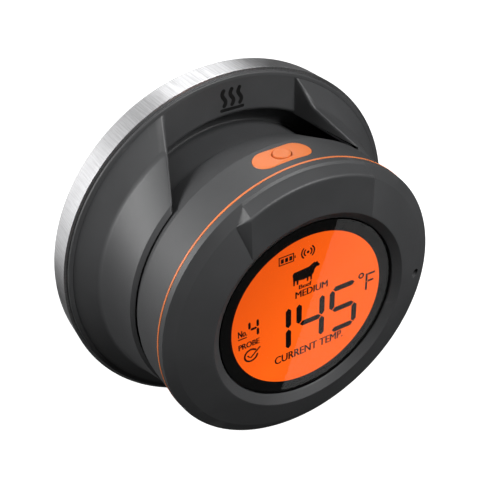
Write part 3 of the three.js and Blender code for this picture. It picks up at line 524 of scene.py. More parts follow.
rim = turned("steel_band", [
    (rim_radius - SHEET, rim_front, 0.1), (rim_radius, rim_front, 0.12), (rim_radius - 0.25, rim_rear + 0.7, 0.7),
    (rim_radius - 1.0, rim_rear, 0.6), (rim_radius - RIM_RETURN, rim_rear, 0.3),
    (rim_radius - RIM_RETURN, rim_rear + SHEET, 0.3), (rim_radius - SHEET, rim_rear + SHEET, 0.3),
], sides=256)


def brushed_effect():
    """Brushed steel: fine scratches that run across the band, over a slow unevenness and a few stains."""
    tree, given, made = effect(
        "brushed_band",
        [("Colour", COLOUR, (0.6, 0.6, 0.6, 1)), ("Roughness", NUMBER, 0.25), ("Scratches", NUMBER, 2600.0)],
        [("Colour", COLOUR), ("Roughness", NUMBER), ("Height", NUMBER)])
    place = add(tree, "ShaderNodeTexCoord")
    parts = add(tree, "ShaderNodeSeparateXYZ")
    tree.links.new(place.outputs["Object"], parts.inputs[0])
    turn = add(tree, "ShaderNodeMath", operation="ARCTAN2")
    tree.links.new(parts.outputs["X"], turn.inputs[0])
    tree.links.new(parts.outputs["Z"], turn.inputs[1])
    stretched = add(tree, "ShaderNodeCombineXYZ")
    arc = add(tree, "ShaderNodeMath", operation="MULTIPLY")
    arc.inputs[1].default_value = 0.055
    tree.links.new(turn.outputs[0], arc.inputs[0])
    tree.links.new(arc.outputs[0], stretched.inputs["X"])
    width = add(tree, "ShaderNodeMath", operation="MULTIPLY")
    width.inputs[1].default_value = 0.03
    tree.links.new(parts.outputs["Y"], width.inputs[0])
    tree.links.new(width.outputs[0], stretched.inputs["Y"])
    scratch = add(tree, "ShaderNodeTexNoise", Detail=4.0, Roughness=0.7)
    tree.links.new(stretched.outputs[0], scratch.inputs["Vector"])
    tree.links.new(given.outputs["Scratches"], scratch.inputs["Scale"])
    cloud = add(tree, "ShaderNodeTexNoise", Scale=90.0, Detail=3.0)
    tree.links.new(place.outputs["Object"], cloud.inputs["Vector"])
    dark = add(tree, "ShaderNodeHueSaturation", Value=0.72)
    tree.links.new(given.outputs["Colour"], dark.inputs["Color"])
    streak = spread(tree, scratch.outputs["Fac"], 0.35, 0.65)
    tree.links.new(mix_colour(tree, streak, dark.outputs[0], given.outputs["Colour"]), made.inputs["Colour"])
    uneven = add(tree, "ShaderNodeMath", operation="ADD")
    tree.links.new(spread(tree, streak, 0.0, 1.0, 0.07, -0.03), uneven.inputs[0])
    tree.links.new(spread(tree, cloud.outputs["Fac"], 0.3, 0.7, -0.03, 0.05), uneven.inputs[1])
    rough = add(tree, "ShaderNodeMath", operation="ADD")
    tree.links.new(uneven.outputs[0], rough.inputs[0])
    tree.links.new(given.outputs["Roughness"], rough.inputs[1])
    tree.links.new(rough.outputs[0], made.inputs["Roughness"])
    tree.links.new(scratch.outputs["Fac"], made.inputs["Height"])
    return tree


BRUSHED = surfaced("brushed_steel", brushed_effect(), {"Colour": (0.62, 0.62, 0.63, 1), "Roughness": 0.36},
                   metallic=1.0, bump=0.12, bump_depth=0.00002)
dress(rim, BRUSHED)
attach(rim, "base")
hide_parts("steel_rim")

# ---- Heat mark ----
# A small pad-printed mark on the notch's floor: three rising wavy lines over a bar, for heat.
# It is a film of black ink a few hundredths of a millimetre thick.
MARK_RADIUS = 47.6
MARK_HEIGHT = 6.4
MARK_PITCH = 2.5
INK_FILM = 0.04


def printed(name, outlines, depth, film=INK_FILM):
    """Flat printed shapes: each outline of (x, z) points in millimetres becomes a thin film in front of a depth."""
    def fill(work):
        for outline in outlines:
            verts = [work.verts.new(Vector((x, -depth, z)) * MM) for x, z in outline]
            face = work.faces.new(verts)
            grown = bmesh.ops.extrude_face_region(work, geom=[face])
            raised = [v for v in grown["geom"] if isinstance(v, bmesh.types.BMVert)]
            bmesh.ops.translate(work, verts=raised, vec=(0, -film * MM, 0))

    return piece_from(name, fill)


def stroke(points, width):
    """The outline of an open line of (x, z) points drawn with a round-ended pen."""
    line = [Vector(p) for p in points]
    left, right = [], []
    for i, here in enumerate(line):
        along = (line[min(i + 1, len(line) - 1)] - line[max(i - 1, 0)]).normalized()
        side = Vector((-along.y, along.x)) * width / 2
        left.append(here + side)
        right.append(here - side)
        if i in (0, len(line) - 1):
            end = along * width / 2 * (1 if i else -1)
            cap = [here + end * math.sin(a) + side * math.cos(a) for a in (math.pi * k / 6 for k in range(1, 6))]
            if i:
                tail = cap
            else:
                nose = cap
    return left + tail + right[::-1] + nose[::-1]


def heat_mark():
    """Three wavy lines side by side over a bar."""
    shapes = []
    low = MARK_RADIUS - MARK_HEIGHT / 2
    for i in (-1, 0, 1):
        wave = [(i * MARK_PITCH + 0.5 * math.sin(TURN * k / 24), low + 1.6 + (MARK_HEIGHT - 1.9) * k / 24)
                for k in range(25)]
        shapes.append(stroke(wave, 1.15))
    shapes.append(stroke([(-MARK_PITCH - 0.9, low + 0.35), (MARK_PITCH + 0.9, low + 0.35)], 0.9))
    return shapes


mark = printed("heat_mark", heat_mark(), notch_floor - 0.01)
INK = moulded("black_ink", (0.004, 0.004, 0.004), (0.02, 0.02, 0.02), 0.42, wear_and_highlight=0.1)
dress(mark, INK)
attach(mark, "base")

# ---- Rear housing ----
# The real shell is moulded in the base's plastic: a cup with a tapered back, a shoulder, and a drafted side.
# Its back has the battery opening, the keeper's groove and four screw wells, and its side the probe jacks' holes.
HEAD_WALL = 2.2
JACK_HOLE_RADIUS = 3.15
PAD_LENGTH = 16.8
PAD_WIDTH = 7.8

shoulder = head_rear + HEAD_TAPER
inner_radius = head_radius - HEAD_WALL
keeper_outer = reach("keeper_ring")[0]
keeper_front = reach("keeper_ring")[2]
cover_front = reach("battery_cover")[2]
opening_radius = keeper_outer - 5.7
rear_shell = turned("rear_moulding", [
    (opening_radius, head_rear, 0.2), (keeper_outer - 3.3, head_rear, 0.15),
    (keeper_outer - 3.3, keeper_front + 0.3, 0.1),
    (keeper_outer + 0.3, keeper_front + 0.3, 0.1), (keeper_outer + 0.3, head_rear, 0.15),
    (head_back_radius, head_rear, 0.8), (head_radius - HEAD_SIDE_DRAFT, shoulder, 0.35),
    (head_radius, seam_rear, 0.12), (inner_radius, seam_rear, 0.1), (inner_radius, shoulder + 1, 0.8),
    (head_back_radius - HEAD_WALL, head_rear + HEAD_WALL, 0.8), (opening_radius, head_rear + HEAD_WALL, 0.2),
], sides=224)

pad_middle = middle("button_pad")
button_angle = math.atan2(pad_middle.x, pad_middle.z)
pad_depth = -pad_middle.y / MM
pad_outer = head_radius + 0.1
jack_places = [middle(f"probe_jack_{i}") for i in range(1, 5)]
cutters = []
for place in jack_places:
    out = Vector((place.x, 0, place.z)).normalized()
    hub = Vector((0, place.y, 0))
    cutters.append(rod("jack_hole", hub + out * (head_radius - 6) * MM, hub + out * (head_radius + 1) * MM,
                       JACK_HOLE_RADIUS))
for place in [middle(f"housing_screw_{i}") for i in range(1, 5)]:
    foot = Vector((place.x, -(head_rear - 1) * MM, place.z))
    cutters.append(rod("screw_well", foot, foot + Vector((0, -(HEAD_WALL + 2) * MM, 0)), SCREW_WELL_RADIUS))


def racetrack(length, width, steps=24):
    """Points round an obround in the plane, as (along, across)."""
    half = (length - width) / 2
    points = []
    for side in (1, -1):
        for k in range(steps + 1):
            a = math.pi * (k / steps - 0.5) + (0 if side > 0 else math.pi)
            points.append((side * half + width / 2 * math.cos(a), width / 2 * math.sin(a)))
    return points


def on_side(along, across, radius):
    """A place on the head's side by the button: along the circle, across it, at a radius."""
    angle = button_angle + along / pad_outer
    return at(radius, pad_depth + across, angle)


def pad_seat(work):
    """The obround cutter of the pad's recess."""
    outline = racetrack(PAD_LENGTH + 0.16, PAD_WIDTH + 0.16)
    levels = (pad_outer - 1.5, pad_outer + 1)
    rings = [[on_side(a, b, level) for a, b in outline] for level in levels]
    skin(work, rings, closed=True)
    for ring in rings:
        work.faces.new([work.verts.new(p) for p in ring])


cutters.append(piece_from("pad_seat", pad_seat))
cut_away(rear_shell, cutters)
dress(rear_shell, CHARCOAL)
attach(rear_shell, "head")
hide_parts("rear_housing")

# ---- Inside the head ----
# A green glass-fibre board carries the processor, the switch, a shielded radio module and a sounder.
# Two cells lie in a tray behind it, between sprung and sheet contacts of plated brass.


def board_effect():
    """A solder-masked board: faint tracks under the mask and a slightly uneven gloss."""
    tree, given, made = effect(
        "solder_mask",
        [("Colour", COLOUR, (0.02, 0.1, 0.04, 1)), ("Track colour", COLOUR, (0.05, 0.2, 0.08, 1)),
         ("Roughness", NUMBER, 0.35)],
        [("Colour", COLOUR), ("Roughness", NUMBER), ("Height", NUMBER)])
    place = add(tree, "ShaderNodeTexCoord")
    tracks = add(tree, "ShaderNodeTexBrick", Scale=900.0)
    tree.links.new(place.outputs["Object"], tracks.inputs["Vector"])
    shape = spread(tree, tracks.outputs["Fac"], 0.4, 0.6)
    tree.links.new(mix_colour(tree, shape, given.outputs["Colour"], given.outputs["Track colour"]),
                   made.inputs["Colour"])
    rough = add(tree, "ShaderNodeMath", operation="ADD")
    tree.links.new(spread(tree, tracks.outputs["Fac"], 0, 1, 0, 0.06), rough.inputs[0])
    tree.links.new(given.outputs["Roughness"], rough.inputs[1])
    tree.links.new(rough.outputs[0], made.inputs["Roughness"])
    tree.links.new(tracks.outputs["Fac"], made.inputs["Height"])
    return tree


BOARD = surfaced("solder_masked_board", board_effect(),
                 {"Colour": (0.012, 0.09, 0.035, 1), "Track colour": (0.03, 0.16, 0.06, 1)}, bump=0.2)
BRASS = plated("plated_brass", (0.72, 0.52, 0.2), 0.28)
CELL_WRAP = moulded("cell_wrap", (0.045, 0.05, 0.055), (0.2, 0.2, 0.2), 0.3, grain=900.0, Coat_Weight=0.4)
WHITE_PLASTIC = moulded("white_moulding", (0.72, 0.71, 0.67), (0.85, 0.85, 0.82), 0.55, wear_and_highlight=0.1)
dress_nodes(BOARD, "main_board")
dress_nodes(BLACK_PLASTIC, "processor_chip", "tact_switch", "buzzer", "battery_tray")
dress_nodes(ZINC, "radio_module", "keeper_ring", *[f"housing_screw_{i}" for i in range(1, 5)])
dress_nodes(BRASS, *[f"battery_{kind}_{i}" for kind in ("spring", "contact") for i in (1, 2)])
dress_nodes(CELL_WRAP, "battery_cell_1", "battery_cell_2")
dress_nodes(WHITE_PLASTIC, "light_guide", "lcd_holder")
dress_nodes(SILICONE, "cover_seal", "lens_seal")

# ---- Battery cover ----
# A moulded disc that turns to open, with a slot for a coin. The real one locks with bayonet lugs on its inside.
# Its rear face is dished a little, with a raised rib round the rim for the fingers.
COVER_RADIUS = 26.65
SLOT_LENGTH = 17.0
SLOT_WIDTH = 2.4
SLOT_DEPTH = 1.4

cover_rear = reach("battery_cover")[1]
cover = turned("battery_cover_moulding", [
    (0, cover_rear + 0.35, 0), (COVER_RADIUS - 4.2, cover_rear + 0.35, 0.5), (COVER_RADIUS - 3.4, cover_rear, 0.3),
    (COVER_RADIUS, cover_rear, 0.35), (COVER_RADIUS, cover_front, 0.2), (COVER_RADIUS - 4.5, cover_front, 0.2),
    (COVER_RADIUS - 4.5, cover_rear + 2.2, 0.3), (0, cover_rear + 2.2, 0),
], loop=False)


def coin_slot(work):
    """The cutter of the slot, with round ends."""
    outline = racetrack(SLOT_LENGTH, SLOT_WIDTH)
    rings = [[Vector((x, -depth, z)) * MM for x, z in outline] for depth in (cover_rear - 1, cover_rear + SLOT_DEPTH)]
    skin(work, rings, closed=True)
    for ring in rings:
        work.faces.new([work.verts.new(p) for p in ring])


cut_away(cover, [piece_from("coin_slot", coin_slot)])
dress(cover, BLACK_PLASTIC)
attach(cover, "cover")
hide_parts("battery_cover")

# ---- Probe jacks ----
# Four moulded sockets on the underside, each with a rounded collar round a deep bore.
# They are pushed in from inside the shell and take the round plugs of the probes.
JACK_RADIUS = 3.0
JACK_BORE = 1.25
JACK_BORE_DEPTH = 8
JACK_INNER_END = 31.05

for i, place in enumerate(jack_places, 1):
    hub_angle = math.atan2(place.x, place.z)
    outer = head_radius - HEAD_SIDE_DRAFT - 0.3
    half_section = rounded([(0, JACK_INNER_END, 0), (JACK_RADIUS, JACK_INNER_END, 0.2), (JACK_RADIUS, outer, 0.5),
                            (JACK_BORE + 0.55, outer, 0.2), (JACK_BORE, outer - 0.55, 0.2),
                            (JACK_BORE, outer - JACK_BORE_DEPTH, 0.2), (0, outer - JACK_BORE_DEPTH, 0)])

    def socket(work, section=half_section, angle=hub_angle, depth=-place.y / MM):
        """The jack's half section turned about its own axis, which stands out from the object's axis."""
        out = Vector((math.sin(angle), 0, math.cos(angle)))
        side = Vector((math.cos(angle), 0, -math.sin(angle)))
        rows = [[(out * p.y + side * p.x * math.cos(a) + Vector((0, -depth - p.x * math.sin(a), 0))) * MM
                 for a in (TURN * j / 40 for j in range(40))] for p in section]
        skin(work, rows, closed=True)

    jack = piece_from(f"probe_socket_{i}", socket)
    dress(jack, BLACK_PLASTIC)
    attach(jack, "head")
    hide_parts(f"probe_jack_{i}")

# ---- Accent ring ----
# A thin ring moulded in orange plastic, held between the two shells so that only its edge shows.
# It stands a tenth of a millimetre proud, with both corners rounded.
ring_radius, ring_rear, ring_front = reach("accent_ring")
accent = turned("accent_band", [
    (inner_radius - 0.6, ring_rear, 0.1), (ring_radius, ring_rear, 0.16), (ring_radius, ring_front, 0.16),
    (inner_radius - 0.6, ring_front, 0.1),
], sides=256)
ORANGE = moulded("orange_moulding", (0.9, 0.235, 0.062), (0.95, 0.42, 0.22), 0.46, grain=2600.0, wear_and_highlight=0.25,
                 Subsurface_Weight=0.08, Subsurface_Scale=0.0006)
dress(accent, ORANGE)
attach(accent, "head")
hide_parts("accent_ring")

# ---- Button pad ----
# The pad is an obround insert of the ring's plastic, curved to the head's side and set in a recess.
# The round button comes through a hole in it, with a hairline gap all round.
PAD_SHEET = 1.2
BUTTON_RADIUS = 2.4
BUTTON_GAP = 0.26


def fill_pad(work):
    """Rings from the button's hole out to the obround edge, each corner rounded."""
    count = 100
    outline = racetrack(PAD_LENGTH, PAD_WIDTH, steps=49)
    turns = [math.pi * (k / 49 - 0.5) + (0 if k < 50 else math.pi / 49 * -1) for k in range(count)]
    circle = [((BUTTON_RADIUS + BUTTON_GAP) * math.cos(a), (BUTTON_RADIUS + BUTTON_GAP) * math.sin(a)) for a in turns]
    top, low = pad_outer, pad_outer - PAD_SHEET
    steps = [(0, low), (0, top - 0.15), (0.03, top - 0.03), (0.08, top), (0.35, top), (0.65, top), (0.93, top),
             (0.975, top - 0.04), (1, top - 0.18), (1, low)]
    rings = []
    for share, radius in steps:
        rings.append([on_side(c[0] + (o[0] - c[0]) * share, c[1] + (o[1] - c[1]) * share, radius)
                      for c, o in zip(circle, outline)])
    skin(work, rings + [rings[0]], closed=True)


pad = piece_from("button_pad_insert", fill_pad)
dress(pad, ORANGE)
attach(pad, "head")
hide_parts("button_pad")

# ---- Power button ----
# A round cap of the same plastic, with a rounded edge and a shallow dish for the fingertip.
# Its flange behind the shell keeps it in, and its stem presses the switch on the board.
button_low, button_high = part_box("power_button")
button_top = button_high.z / MM
button_foot = button_low.z / MM


def fill_button(work):
    """The button's half section turned about its own axis."""
    section = rounded([(0, button_foot, 0), (1.2, button_foot, 0.2), (1.2, button_foot + 1.1, 0.1),
                       (BUTTON_RADIUS + 0.9, button_foot + 1.1, 0.2), (BUTTON_RADIUS + 0.9, button_foot + 2.2, 0.2),
                       (BUTTON_RADIUS, button_foot + 2.2, 0.1), (BUTTON_RADIUS, button_top - 0.02, 0.35),
                       (BUTTON_RADIUS - 0.8, button_top - 0.02, 0.4), (0, button_top - 0.12, 0)])
    out = Vector((math.sin(button_angle), 0, math.cos(button_angle)))
    side = Vector((math.cos(button_angle), 0, -math.sin(button_angle)))
    rows = [[(out * p.y + side * p.x * math.cos(a) + Vector((0, -pad_depth - p.x * math.sin(a), 0))) * MM
             for a in (TURN * j / 64 for j in range(64))] for p in section]
    skin(work, rows, closed=True)


button = piece_from("power_button_cap", fill_button)
dress(button, ORANGE)
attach(button, "button")
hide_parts("power_button")

# ---- Front bezel ----
# The front shell is moulded with a crisp outer edge, an outer bevel and a shallow cone round the window.
# Above the window a flat land is raised on the cone. A small sound hole lies at the right.
RIM_RADIUS = 30.75
BEZEL_SIDE = 1.9
BEVEL_RADIUS = 40.0
BEVEL_RISE = 1.55
LAND_TOP_HALF = 18.4
LAND_DRAFT = 0.95
LAND_WALL_TOP = 46.9
LAND_WALL_IN = 0.6
LAND_RIDGE_IN = 1.9
LAND_COLUMNS = 40
SLOPE_COLUMNS = 3
REST_COLUMNS = 176
FACE_ROWS = 14
SOUND_HOLE_RADIUS = 1.4
SOUND_HOLE_X = 37.9
SOUND_HOLE_Z = -3.3

bezel_radius, _, front_rim = reach("front_bezel")
bezel_edge = ring_front + 0.05 + BEZEL_SIDE
lens_radius, lens_rear, lens_front = reach("display_lens")
seat_radius = lens_radius + 0.3
window_ledge = lens_rear - 1.0


def ladder(corners):
    """A rounded profile with its last, long run divided into rows."""
    points = rounded(corners)
    start, end = points[-2], points[-1]
    return points[:-1] + [start + (end - start) * k / FACE_ROWS for k in range(1, FACE_ROWS + 1)]


def fill_bezel(work):
    """The bezel: common rows behind and in the window, and face rows that run over the cone and over the land."""
    outer = bezel_radius - 0.1
    start = (outer, bezel_edge, 0)
    end_radius = RIM_RADIUS + 0.3
    cone = ladder([start, (outer - 0.8, bezel_edge + 0.4, 0.2), (BEVEL_RADIUS, bezel_edge + BEVEL_RISE, 1.2),
                   (end_radius, front_rim - 0.1, 0)])
    land = ladder([start, (outer - LAND_WALL_IN, LAND_WALL_TOP, 0.2), (outer - LAND_RIDGE_IN, front_rim - 0.25, 1.0),
                   (end_radius, front_rim, 0)])
    back = rounded([(seat_radius, lens_rear + 0.2, 0), (seat_radius, window_ledge, 0.1),
                    (lens_radius - 1.2, window_ledge, 0.1), (lens_radius - 1.2, window_ledge - 2.0, 0.2),
                    (seat_radius + 1.6, window_ledge - 2.0, 0.2), (seat_radius + 2.2, front_rim - 2.8, 0.6),
                    (inner_radius, bezel_edge - 1.6, 0.6), (inner_radius, ring_front + 0.05, 0.1),
                    (bezel_radius, ring_front + 0.05, 0.12), start])
    window = rounded([(end_radius, front_rim - 0.05, 0), (RIM_RADIUS - 0.15, front_rim, 0.3),
                      (seat_radius + 0.15, lens_front + 0.12, 0.3), (seat_radius, lens_front - 0.2, 0.15),
                      (seat_radius, lens_rear + 0.2, 0)])

    def row(low, high):
        """One row: points on the land, on its two sloping ends, and round the rest of the cone."""
        slope = LAND_DRAFT * max(high.y - low.y, 0.02)

        def point(half, share):
            place = low + (high - low) * share
            angle = math.asin(half / place.x)
            return at(place.x, place.y, angle), angle

        top_angle = point(LAND_TOP_HALF, 1)[1]
        points = [at(high.x, high.y, top_angle * (2 * k / LAND_COLUMNS - 1)) for k in range(LAND_COLUMNS + 1)]
        ends = [point(LAND_TOP_HALF + slope * k / SLOPE_COLUMNS, 1 - k / SLOPE_COLUMNS)[0]
                for k in range(1, SLOPE_COLUMNS)]
        foot_angle = point(LAND_TOP_HALF + slope, 0)[1]
        span = TURN - 2 * foot_angle
        rest = [at(low.x, low.y, foot_angle + span * k / REST_COLUMNS) for k in range(REST_COLUMNS + 1)]
        return points + ends + rest + [Vector((-p.x, p.y, p.z)) for p in reversed(ends)]

    rows = [row(p, p) for p in back]
    rows += [row(low, high) for low, high in zip(cone[1:], land[1:])]
    rows += [row(p, p) for p in window[1:]]
    skin(work, rows, closed=True)


bezel = piece_from("bezel_moulding", fill_bezel)
hole_start = Vector((SOUND_HOLE_X * MM, -(bezel_edge - 1.6) * MM, SOUND_HOLE_Z * MM))
cut_away(bezel, [rod("sound_hole", hole_start, hole_start + Vector((0, -8 * MM, 0)), SOUND_HOLE_RADIUS)])
dress(bezel, CHARCOAL)
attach(bezel, "head")
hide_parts("front_bezel")

# ---- Display panel ----
# A liquid-crystal cell with an orange backlight. Its glow is painted brighter towards the lower right, as a painted
# glare, and darker towards the upper left. Its round active area shows inside the window's black print.
panel_radius, panel_rear, panel_front = reach("lcd_panel")
SCREEN_RADIUS = 24.2
panel = turned("display_glass", [
    (0, panel_rear, 0), (panel_radius, panel_rear, 0.15), (panel_radius, panel_front, 0.15), (0, panel_front, 0),
], loop=False, sides=128)


def backlight_with_painted_glare():
    """Orange backlit glass: its glow is painted brighter towards the lower right as a painted glare, and is faintly
    clouded by the diffuser.
    """
    material = bpy.data.materials.new("orange_backlight_painted_glare")
    material.use_nodes = True
    tree = material.node_tree
    shader = tree.nodes["Principled BSDF"]
    place = add(tree, "ShaderNodeTexCoord")
    parts = add(tree, "ShaderNodeSeparateXYZ")
    tree.links.new(place.outputs["Object"], parts.inputs[0])
    lean = add(tree, "ShaderNodeMath", operation="SUBTRACT")
    tree.links.new(parts.outputs["X"], lean.inputs[0])
    tree.links.new(parts.outputs["Z"], lean.inputs[1])
    # Painted glare: the glow is mixed from darker at the upper left to brighter at the lower right.
    painted_glare_share = spread(tree, lean.outputs[0], -0.034, 0.004)
    cloud = add(tree, "ShaderNodeTexNoise", Scale=60.0, Detail=2.0)
    tree.links.new(place.outputs["Object"], cloud.inputs["Vector"])
    glow = mix_colour(tree, painted_glare_share, (0.72, 0.08, 0.003, 1), (0.98, 0.124, 0.005, 1))
    clouded = mix_colour(tree, spread(tree, cloud.outputs["Fac"], 0.3, 0.7, 0, 0.12), glow, (0.8, 0.085, 0.004, 1))
    tree.links.new(clouded, shader.inputs["Emission Color"])
    shader.inputs["Base Color"].default_value = (0.08, 0.008, 0.001, 1)
    shader.inputs["Emission Strength"].default_value = 1.18
    shader.inputs["Specular IOR Level"].default_value = 0.0
    shader.inputs["Roughness"].default_value = 0.6
    return material


dress(panel, backlight_with_painted_glare())
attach(panel, "head")
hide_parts("lcd_panel")

# ---- Display segments ----
# What the liquid crystal shows: seven-segment figures, small words and simple signs, in near-black.
# Each group is a film just in front of the panel, as the segments are in the real glass.
SEGMENT_GAP = 0.22
FIGURE_LOW = -12.6
FIGURE_HIGH = 3.7
FIGURE_STROKE = 1.75
SEGMENT_INK = moulded("segment_black", (0.012, 0.008, 0.006), (0.03, 0.02, 0.02), 0.6, wear_and_highlight=0.0,
                      Specular_IOR_Level=0.0)
SEGMENTS = {"1": "bc", "4": "fgbc", "5": "afgcd"}


def bar(start, end, width, slant=1.0):
    """One segment: a bar between two points with mitred ends."""
    start, end = Vector(start), Vector(end)
    along = (end - start).normalized()
    side = Vector((-along.y, along.x)) * width / 2
    start, end = start + along * SEGMENT_GAP, end - along * SEGMENT_GAP
    tip = along * width / 2 * slant
    return [start, start + tip + side, end - tip + side, end, end - tip - side, start + tip - side]


def figure(sign, left, right, low, high, width):
    """The lit segments of one figure in a box, as outlines."""
    l, r, b, t = left + width / 2, right - width / 2, low + width / 2, high - width / 2
    m = (b + t) / 2
    ends = {"a": ((l, t), (r, t)), "b": ((r, t), (r, m)), "c": ((r, m), (r, b)), "d": ((l, b), (r, b)),
            "e": ((l, m), (l, b)), "f": ((l, t), (l, m)), "g": ((l, m), (r, m))}
    return [bar(*ends[name], width) for name in SEGMENTS[sign]]


def circle(x, z, radius, steps=40):
    """A closed ring of points."""
    return [(x + radius * math.cos(TURN * k / steps), z + radius * math.sin(TURN * k / steps)) for k in range(steps)]


def hoop(x, z, radius, width, start=0.0, end=TURN, steps=40):
    """Part of a drawn circle, as a stroke, or a whole one as two half strokes."""
    if end - start >= TURN - 1e-6:
        return hoop(x, z, radius, width, 0, math.pi, steps // 2) + hoop(x, z, radius, width, math.pi, TURN, steps // 2)
    line = [(x + radius * math.cos(start + (end - start) * k / steps),
             z + radius * math.sin(start + (end - start) * k / steps)) for k in range(steps + 1)]
    return [stroke(line, width)]


def box(left, right, low, high):
    """A rectangle's outline."""
    return [(left, low), (right, low), (right, high), (left, high)]


def show(name, outlines):
    """Puts a group of segments in front of the panel."""
    shown = printed(name, outlines, panel_front + 0.05)
    dress(shown, SEGMENT_INK)
    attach(shown, "head")


show("temperature_figures",
     figure("1", -12.4, -5.4, FIGURE_LOW, FIGURE_HIGH, FIGURE_STROKE)
     + figure("4", -3.7, 5.6, FIGURE_LOW, FIGURE_HIGH, FIGURE_STROKE)
     + figure("5", 7.26, 16.8, FIGURE_LOW, FIGURE_HIGH, FIGURE_STROKE))
show("probe_figure", figure("4", -18.9, -15.6, -2.6, 3.9, 0.75))
show("degree_sign", hoop(17.9, 3.85, 0.75, 0.5))
show("unit_sign", [box(19.5, 20.2, -1.9, 1.0), box(19.5, 20.2, 1.2, 3.85), box(20.35, 22.7, 3.2, 3.85),
                   box(20.35, 22.3, 0.78, 1.42)])
show("battery_sign",
     [box(-9.3, -4.6, 17.7, 18.0), box(-9.3, -4.6, 20.1, 20.4), box(-9.3, -9.0, 18.0, 20.1),
      box(-4.9, -4.6, 18.0, 20.1)]
     + [[(x, 18.35), (x + 0.9, 18.35), (x + 0.9, 19.65), (x, 19.65)] for x in (-8.65, -7.35, -6.05)]
     + [[(-4.45, 18.6), (-4.1, 18.6), (-4.1, 19.4), (-4.45, 19.4)]])
show("signal_sign",
     [circle(-0.22, 19.0, 0.42)]
     + [outline for radius in (1.2, 2.0) for turn in (0, math.pi)
        for outline in hoop(-0.22, 19.0, radius, 0.44, turn - 0.8, turn + 0.8, 14)])
show("ready_sign", hoop(-18.3, -8.25, 2.0, 0.55, 0.75, 6.1)
     + [stroke([(-19.3, -8.2), (-18.4, -9.1), (-15.5, -6.5)], 0.45)])
show("probe_rule", [stroke([(-22.0, -1.35), (-19.6, -1.35)], 0.35)])
ANIMAL = [(-5.0, 13.2), (-4.6, 13.8), (-2.5, 13.9), (0.2, 14.1), (1.1, 14.6), (1.9, 15.0), (2.2, 14.7), (2.8, 14.9),
          (3.1, 14.3), (3.7, 13.6), (3.4, 13.2), (2.6, 13.25), (2.0, 12.6), (1.7, 11.5), (1.2, 11.0), (1.15, 9.5),
          (0.7, 9.5), (0.6, 10.7), (0.1, 10.7), (0.0, 9.5), (-0.45, 9.5), (-0.5, 10.7), (-1.4, 10.5), (-2.6, 10.7),
          (-3.1, 10.8), (-3.2, 9.5), (-3.65, 9.5), (-3.8, 10.9), (-4.15, 11.0), (-4.3, 9.5), (-4.75, 9.5),
          (-4.85, 11.6), (-4.95, 12.5)]
show("meat_sign", [ANIMAL])


WORD_BOLDER = 0.18
WORD_LIFT = 0.002


def word(name, text, left, right, low, cap):
    """A word of plain lettering on the display, fitted to a box."""
    curve = bpy.data.curves.new(name, "FONT")
    curve.body = text
    curve.resolution_u = 4
    curve.extrude = 0.01
    drawn = bpy.data.objects.new(name, curve)
    bpy.context.scene.collection.objects.link(drawn)
    graph = bpy.context.evaluated_depsgraph_get()
    mesh = bpy.data.meshes.new_from_object(drawn.evaluated_get(graph))
    bpy.data.objects.remove(drawn)
    xs = [v.co.x for v in mesh.vertices]
    ys = [v.co.y for v in mesh.vertices]
    zs = [v.co.z for v in mesh.vertices]
    for v in mesh.vertices:
        x = left + (v.co.x - min(xs)) / (max(xs) - min(xs)) * (right - left)
        z = low + (v.co.y - min(ys)) / (max(ys) - min(ys)) * cap
        film = (v.co.z - min(zs)) / (max(zs) - min(zs)) * INK_FILM
        v.co = Vector((x, -(panel_front + 0.05 + film), z)) * MM
    work = bmesh.new()
    work.from_mesh(mesh)
    doubled = bmesh.ops.duplicate(work, geom=work.verts[:] + work.edges[:] + work.faces[:])
    second = [v for v in doubled["geom"] if isinstance(v, bmesh.types.BMVert)]
    bmesh.ops.translate(work, verts=second, vec=(WORD_BOLDER * MM, WORD_LIFT * MM, 0))
    work.to_mesh(mesh)
    work.free()
    shown = bpy.data.objects.new(name, mesh)
    bpy.context.scene.collection.objects.link(shown)
    dress(shown, SEGMENT_INK)
    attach(shown, "head")


word("current_word", "CURRENT TEMP.", -10.8, 12.2, -15.6, 2.7)
word("doneness_word", "MEDIUM", -4.1, 6.3, 4.95, 2.2)
word("meat_word", "Beef", -3.0, 1.0, 7.75, 1.35)
word("number_word", "No.", -22.1, -19.5, -0.75, 2.2)
word("probe_word", "PROBE", -22.1, -15.7, -5.1, 1.9)

# ---- Window ----
# The window is a flat disc of clear polycarbonate with a polished edge, glued in the bezel's seat.
# A ring of black is printed on its back, and leaves only the display's round active area clear.
border = turned("window_print", [
    (SCREEN_RADIUS, lens_rear - 0.06, 0), (lens_radius - 0.05, lens_rear - 0.06, 0),
    (lens_radius - 0.05, lens_rear - 0.02, 0), (SCREEN_RADIUS, lens_rear - 0.02, 0),
])
WINDOW_PRINT = moulded("window_print_black", (0.003, 0.003, 0.003), (0.01, 0.01, 0.01), 0.6, wear_and_highlight=0.0,
                       Specular_IOR_Level=0.0)
dress(border, WINDOW_PRINT)
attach(border, "head")

window = turned("window_lens", [
    (0, lens_rear, 0), (lens_radius, lens_rear, 0.1), (lens_radius, lens_front, 0.06), (0, lens_front, 0),
], loop=False)


def clear_material():
    """Clear plastic with a faint haze of wiping marks on its face."""
    material = bpy.data.materials.new("clear_window")
    material.use_nodes = True
    tree = material.node_tree
    shader = tree.nodes["Principled BSDF"]
    place = add(tree, "ShaderNodeTexCoord")
    wipe = add(tree, "ShaderNodeTexNoise", Scale=120.0, Detail=4.0)
    tree.links.new(place.outputs["Object"], wipe.inputs["Vector"])
    tree.links.new(spread(tree, wipe.outputs["Fac"], 0.4, 0.8, 0.0, 0.03), shader.inputs["Roughness"])
    shader.inputs["Base Color"].default_value = (1, 1, 1, 1)
    shader.inputs["IOR"].default_value = 1.45
    shader.inputs["Transmission Weight"].default_value = 1.0
    return material


dress(window, clear_material())
window.data.materials.append(WINDOW_PRINT)
for face in window.data.polygons:
    if Vector((face.center.x, 0, face.center.z)).length > (lens_radius - 0.05) * MM:
        face.material_index = 1
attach(window, "head")
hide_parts("display_lens")

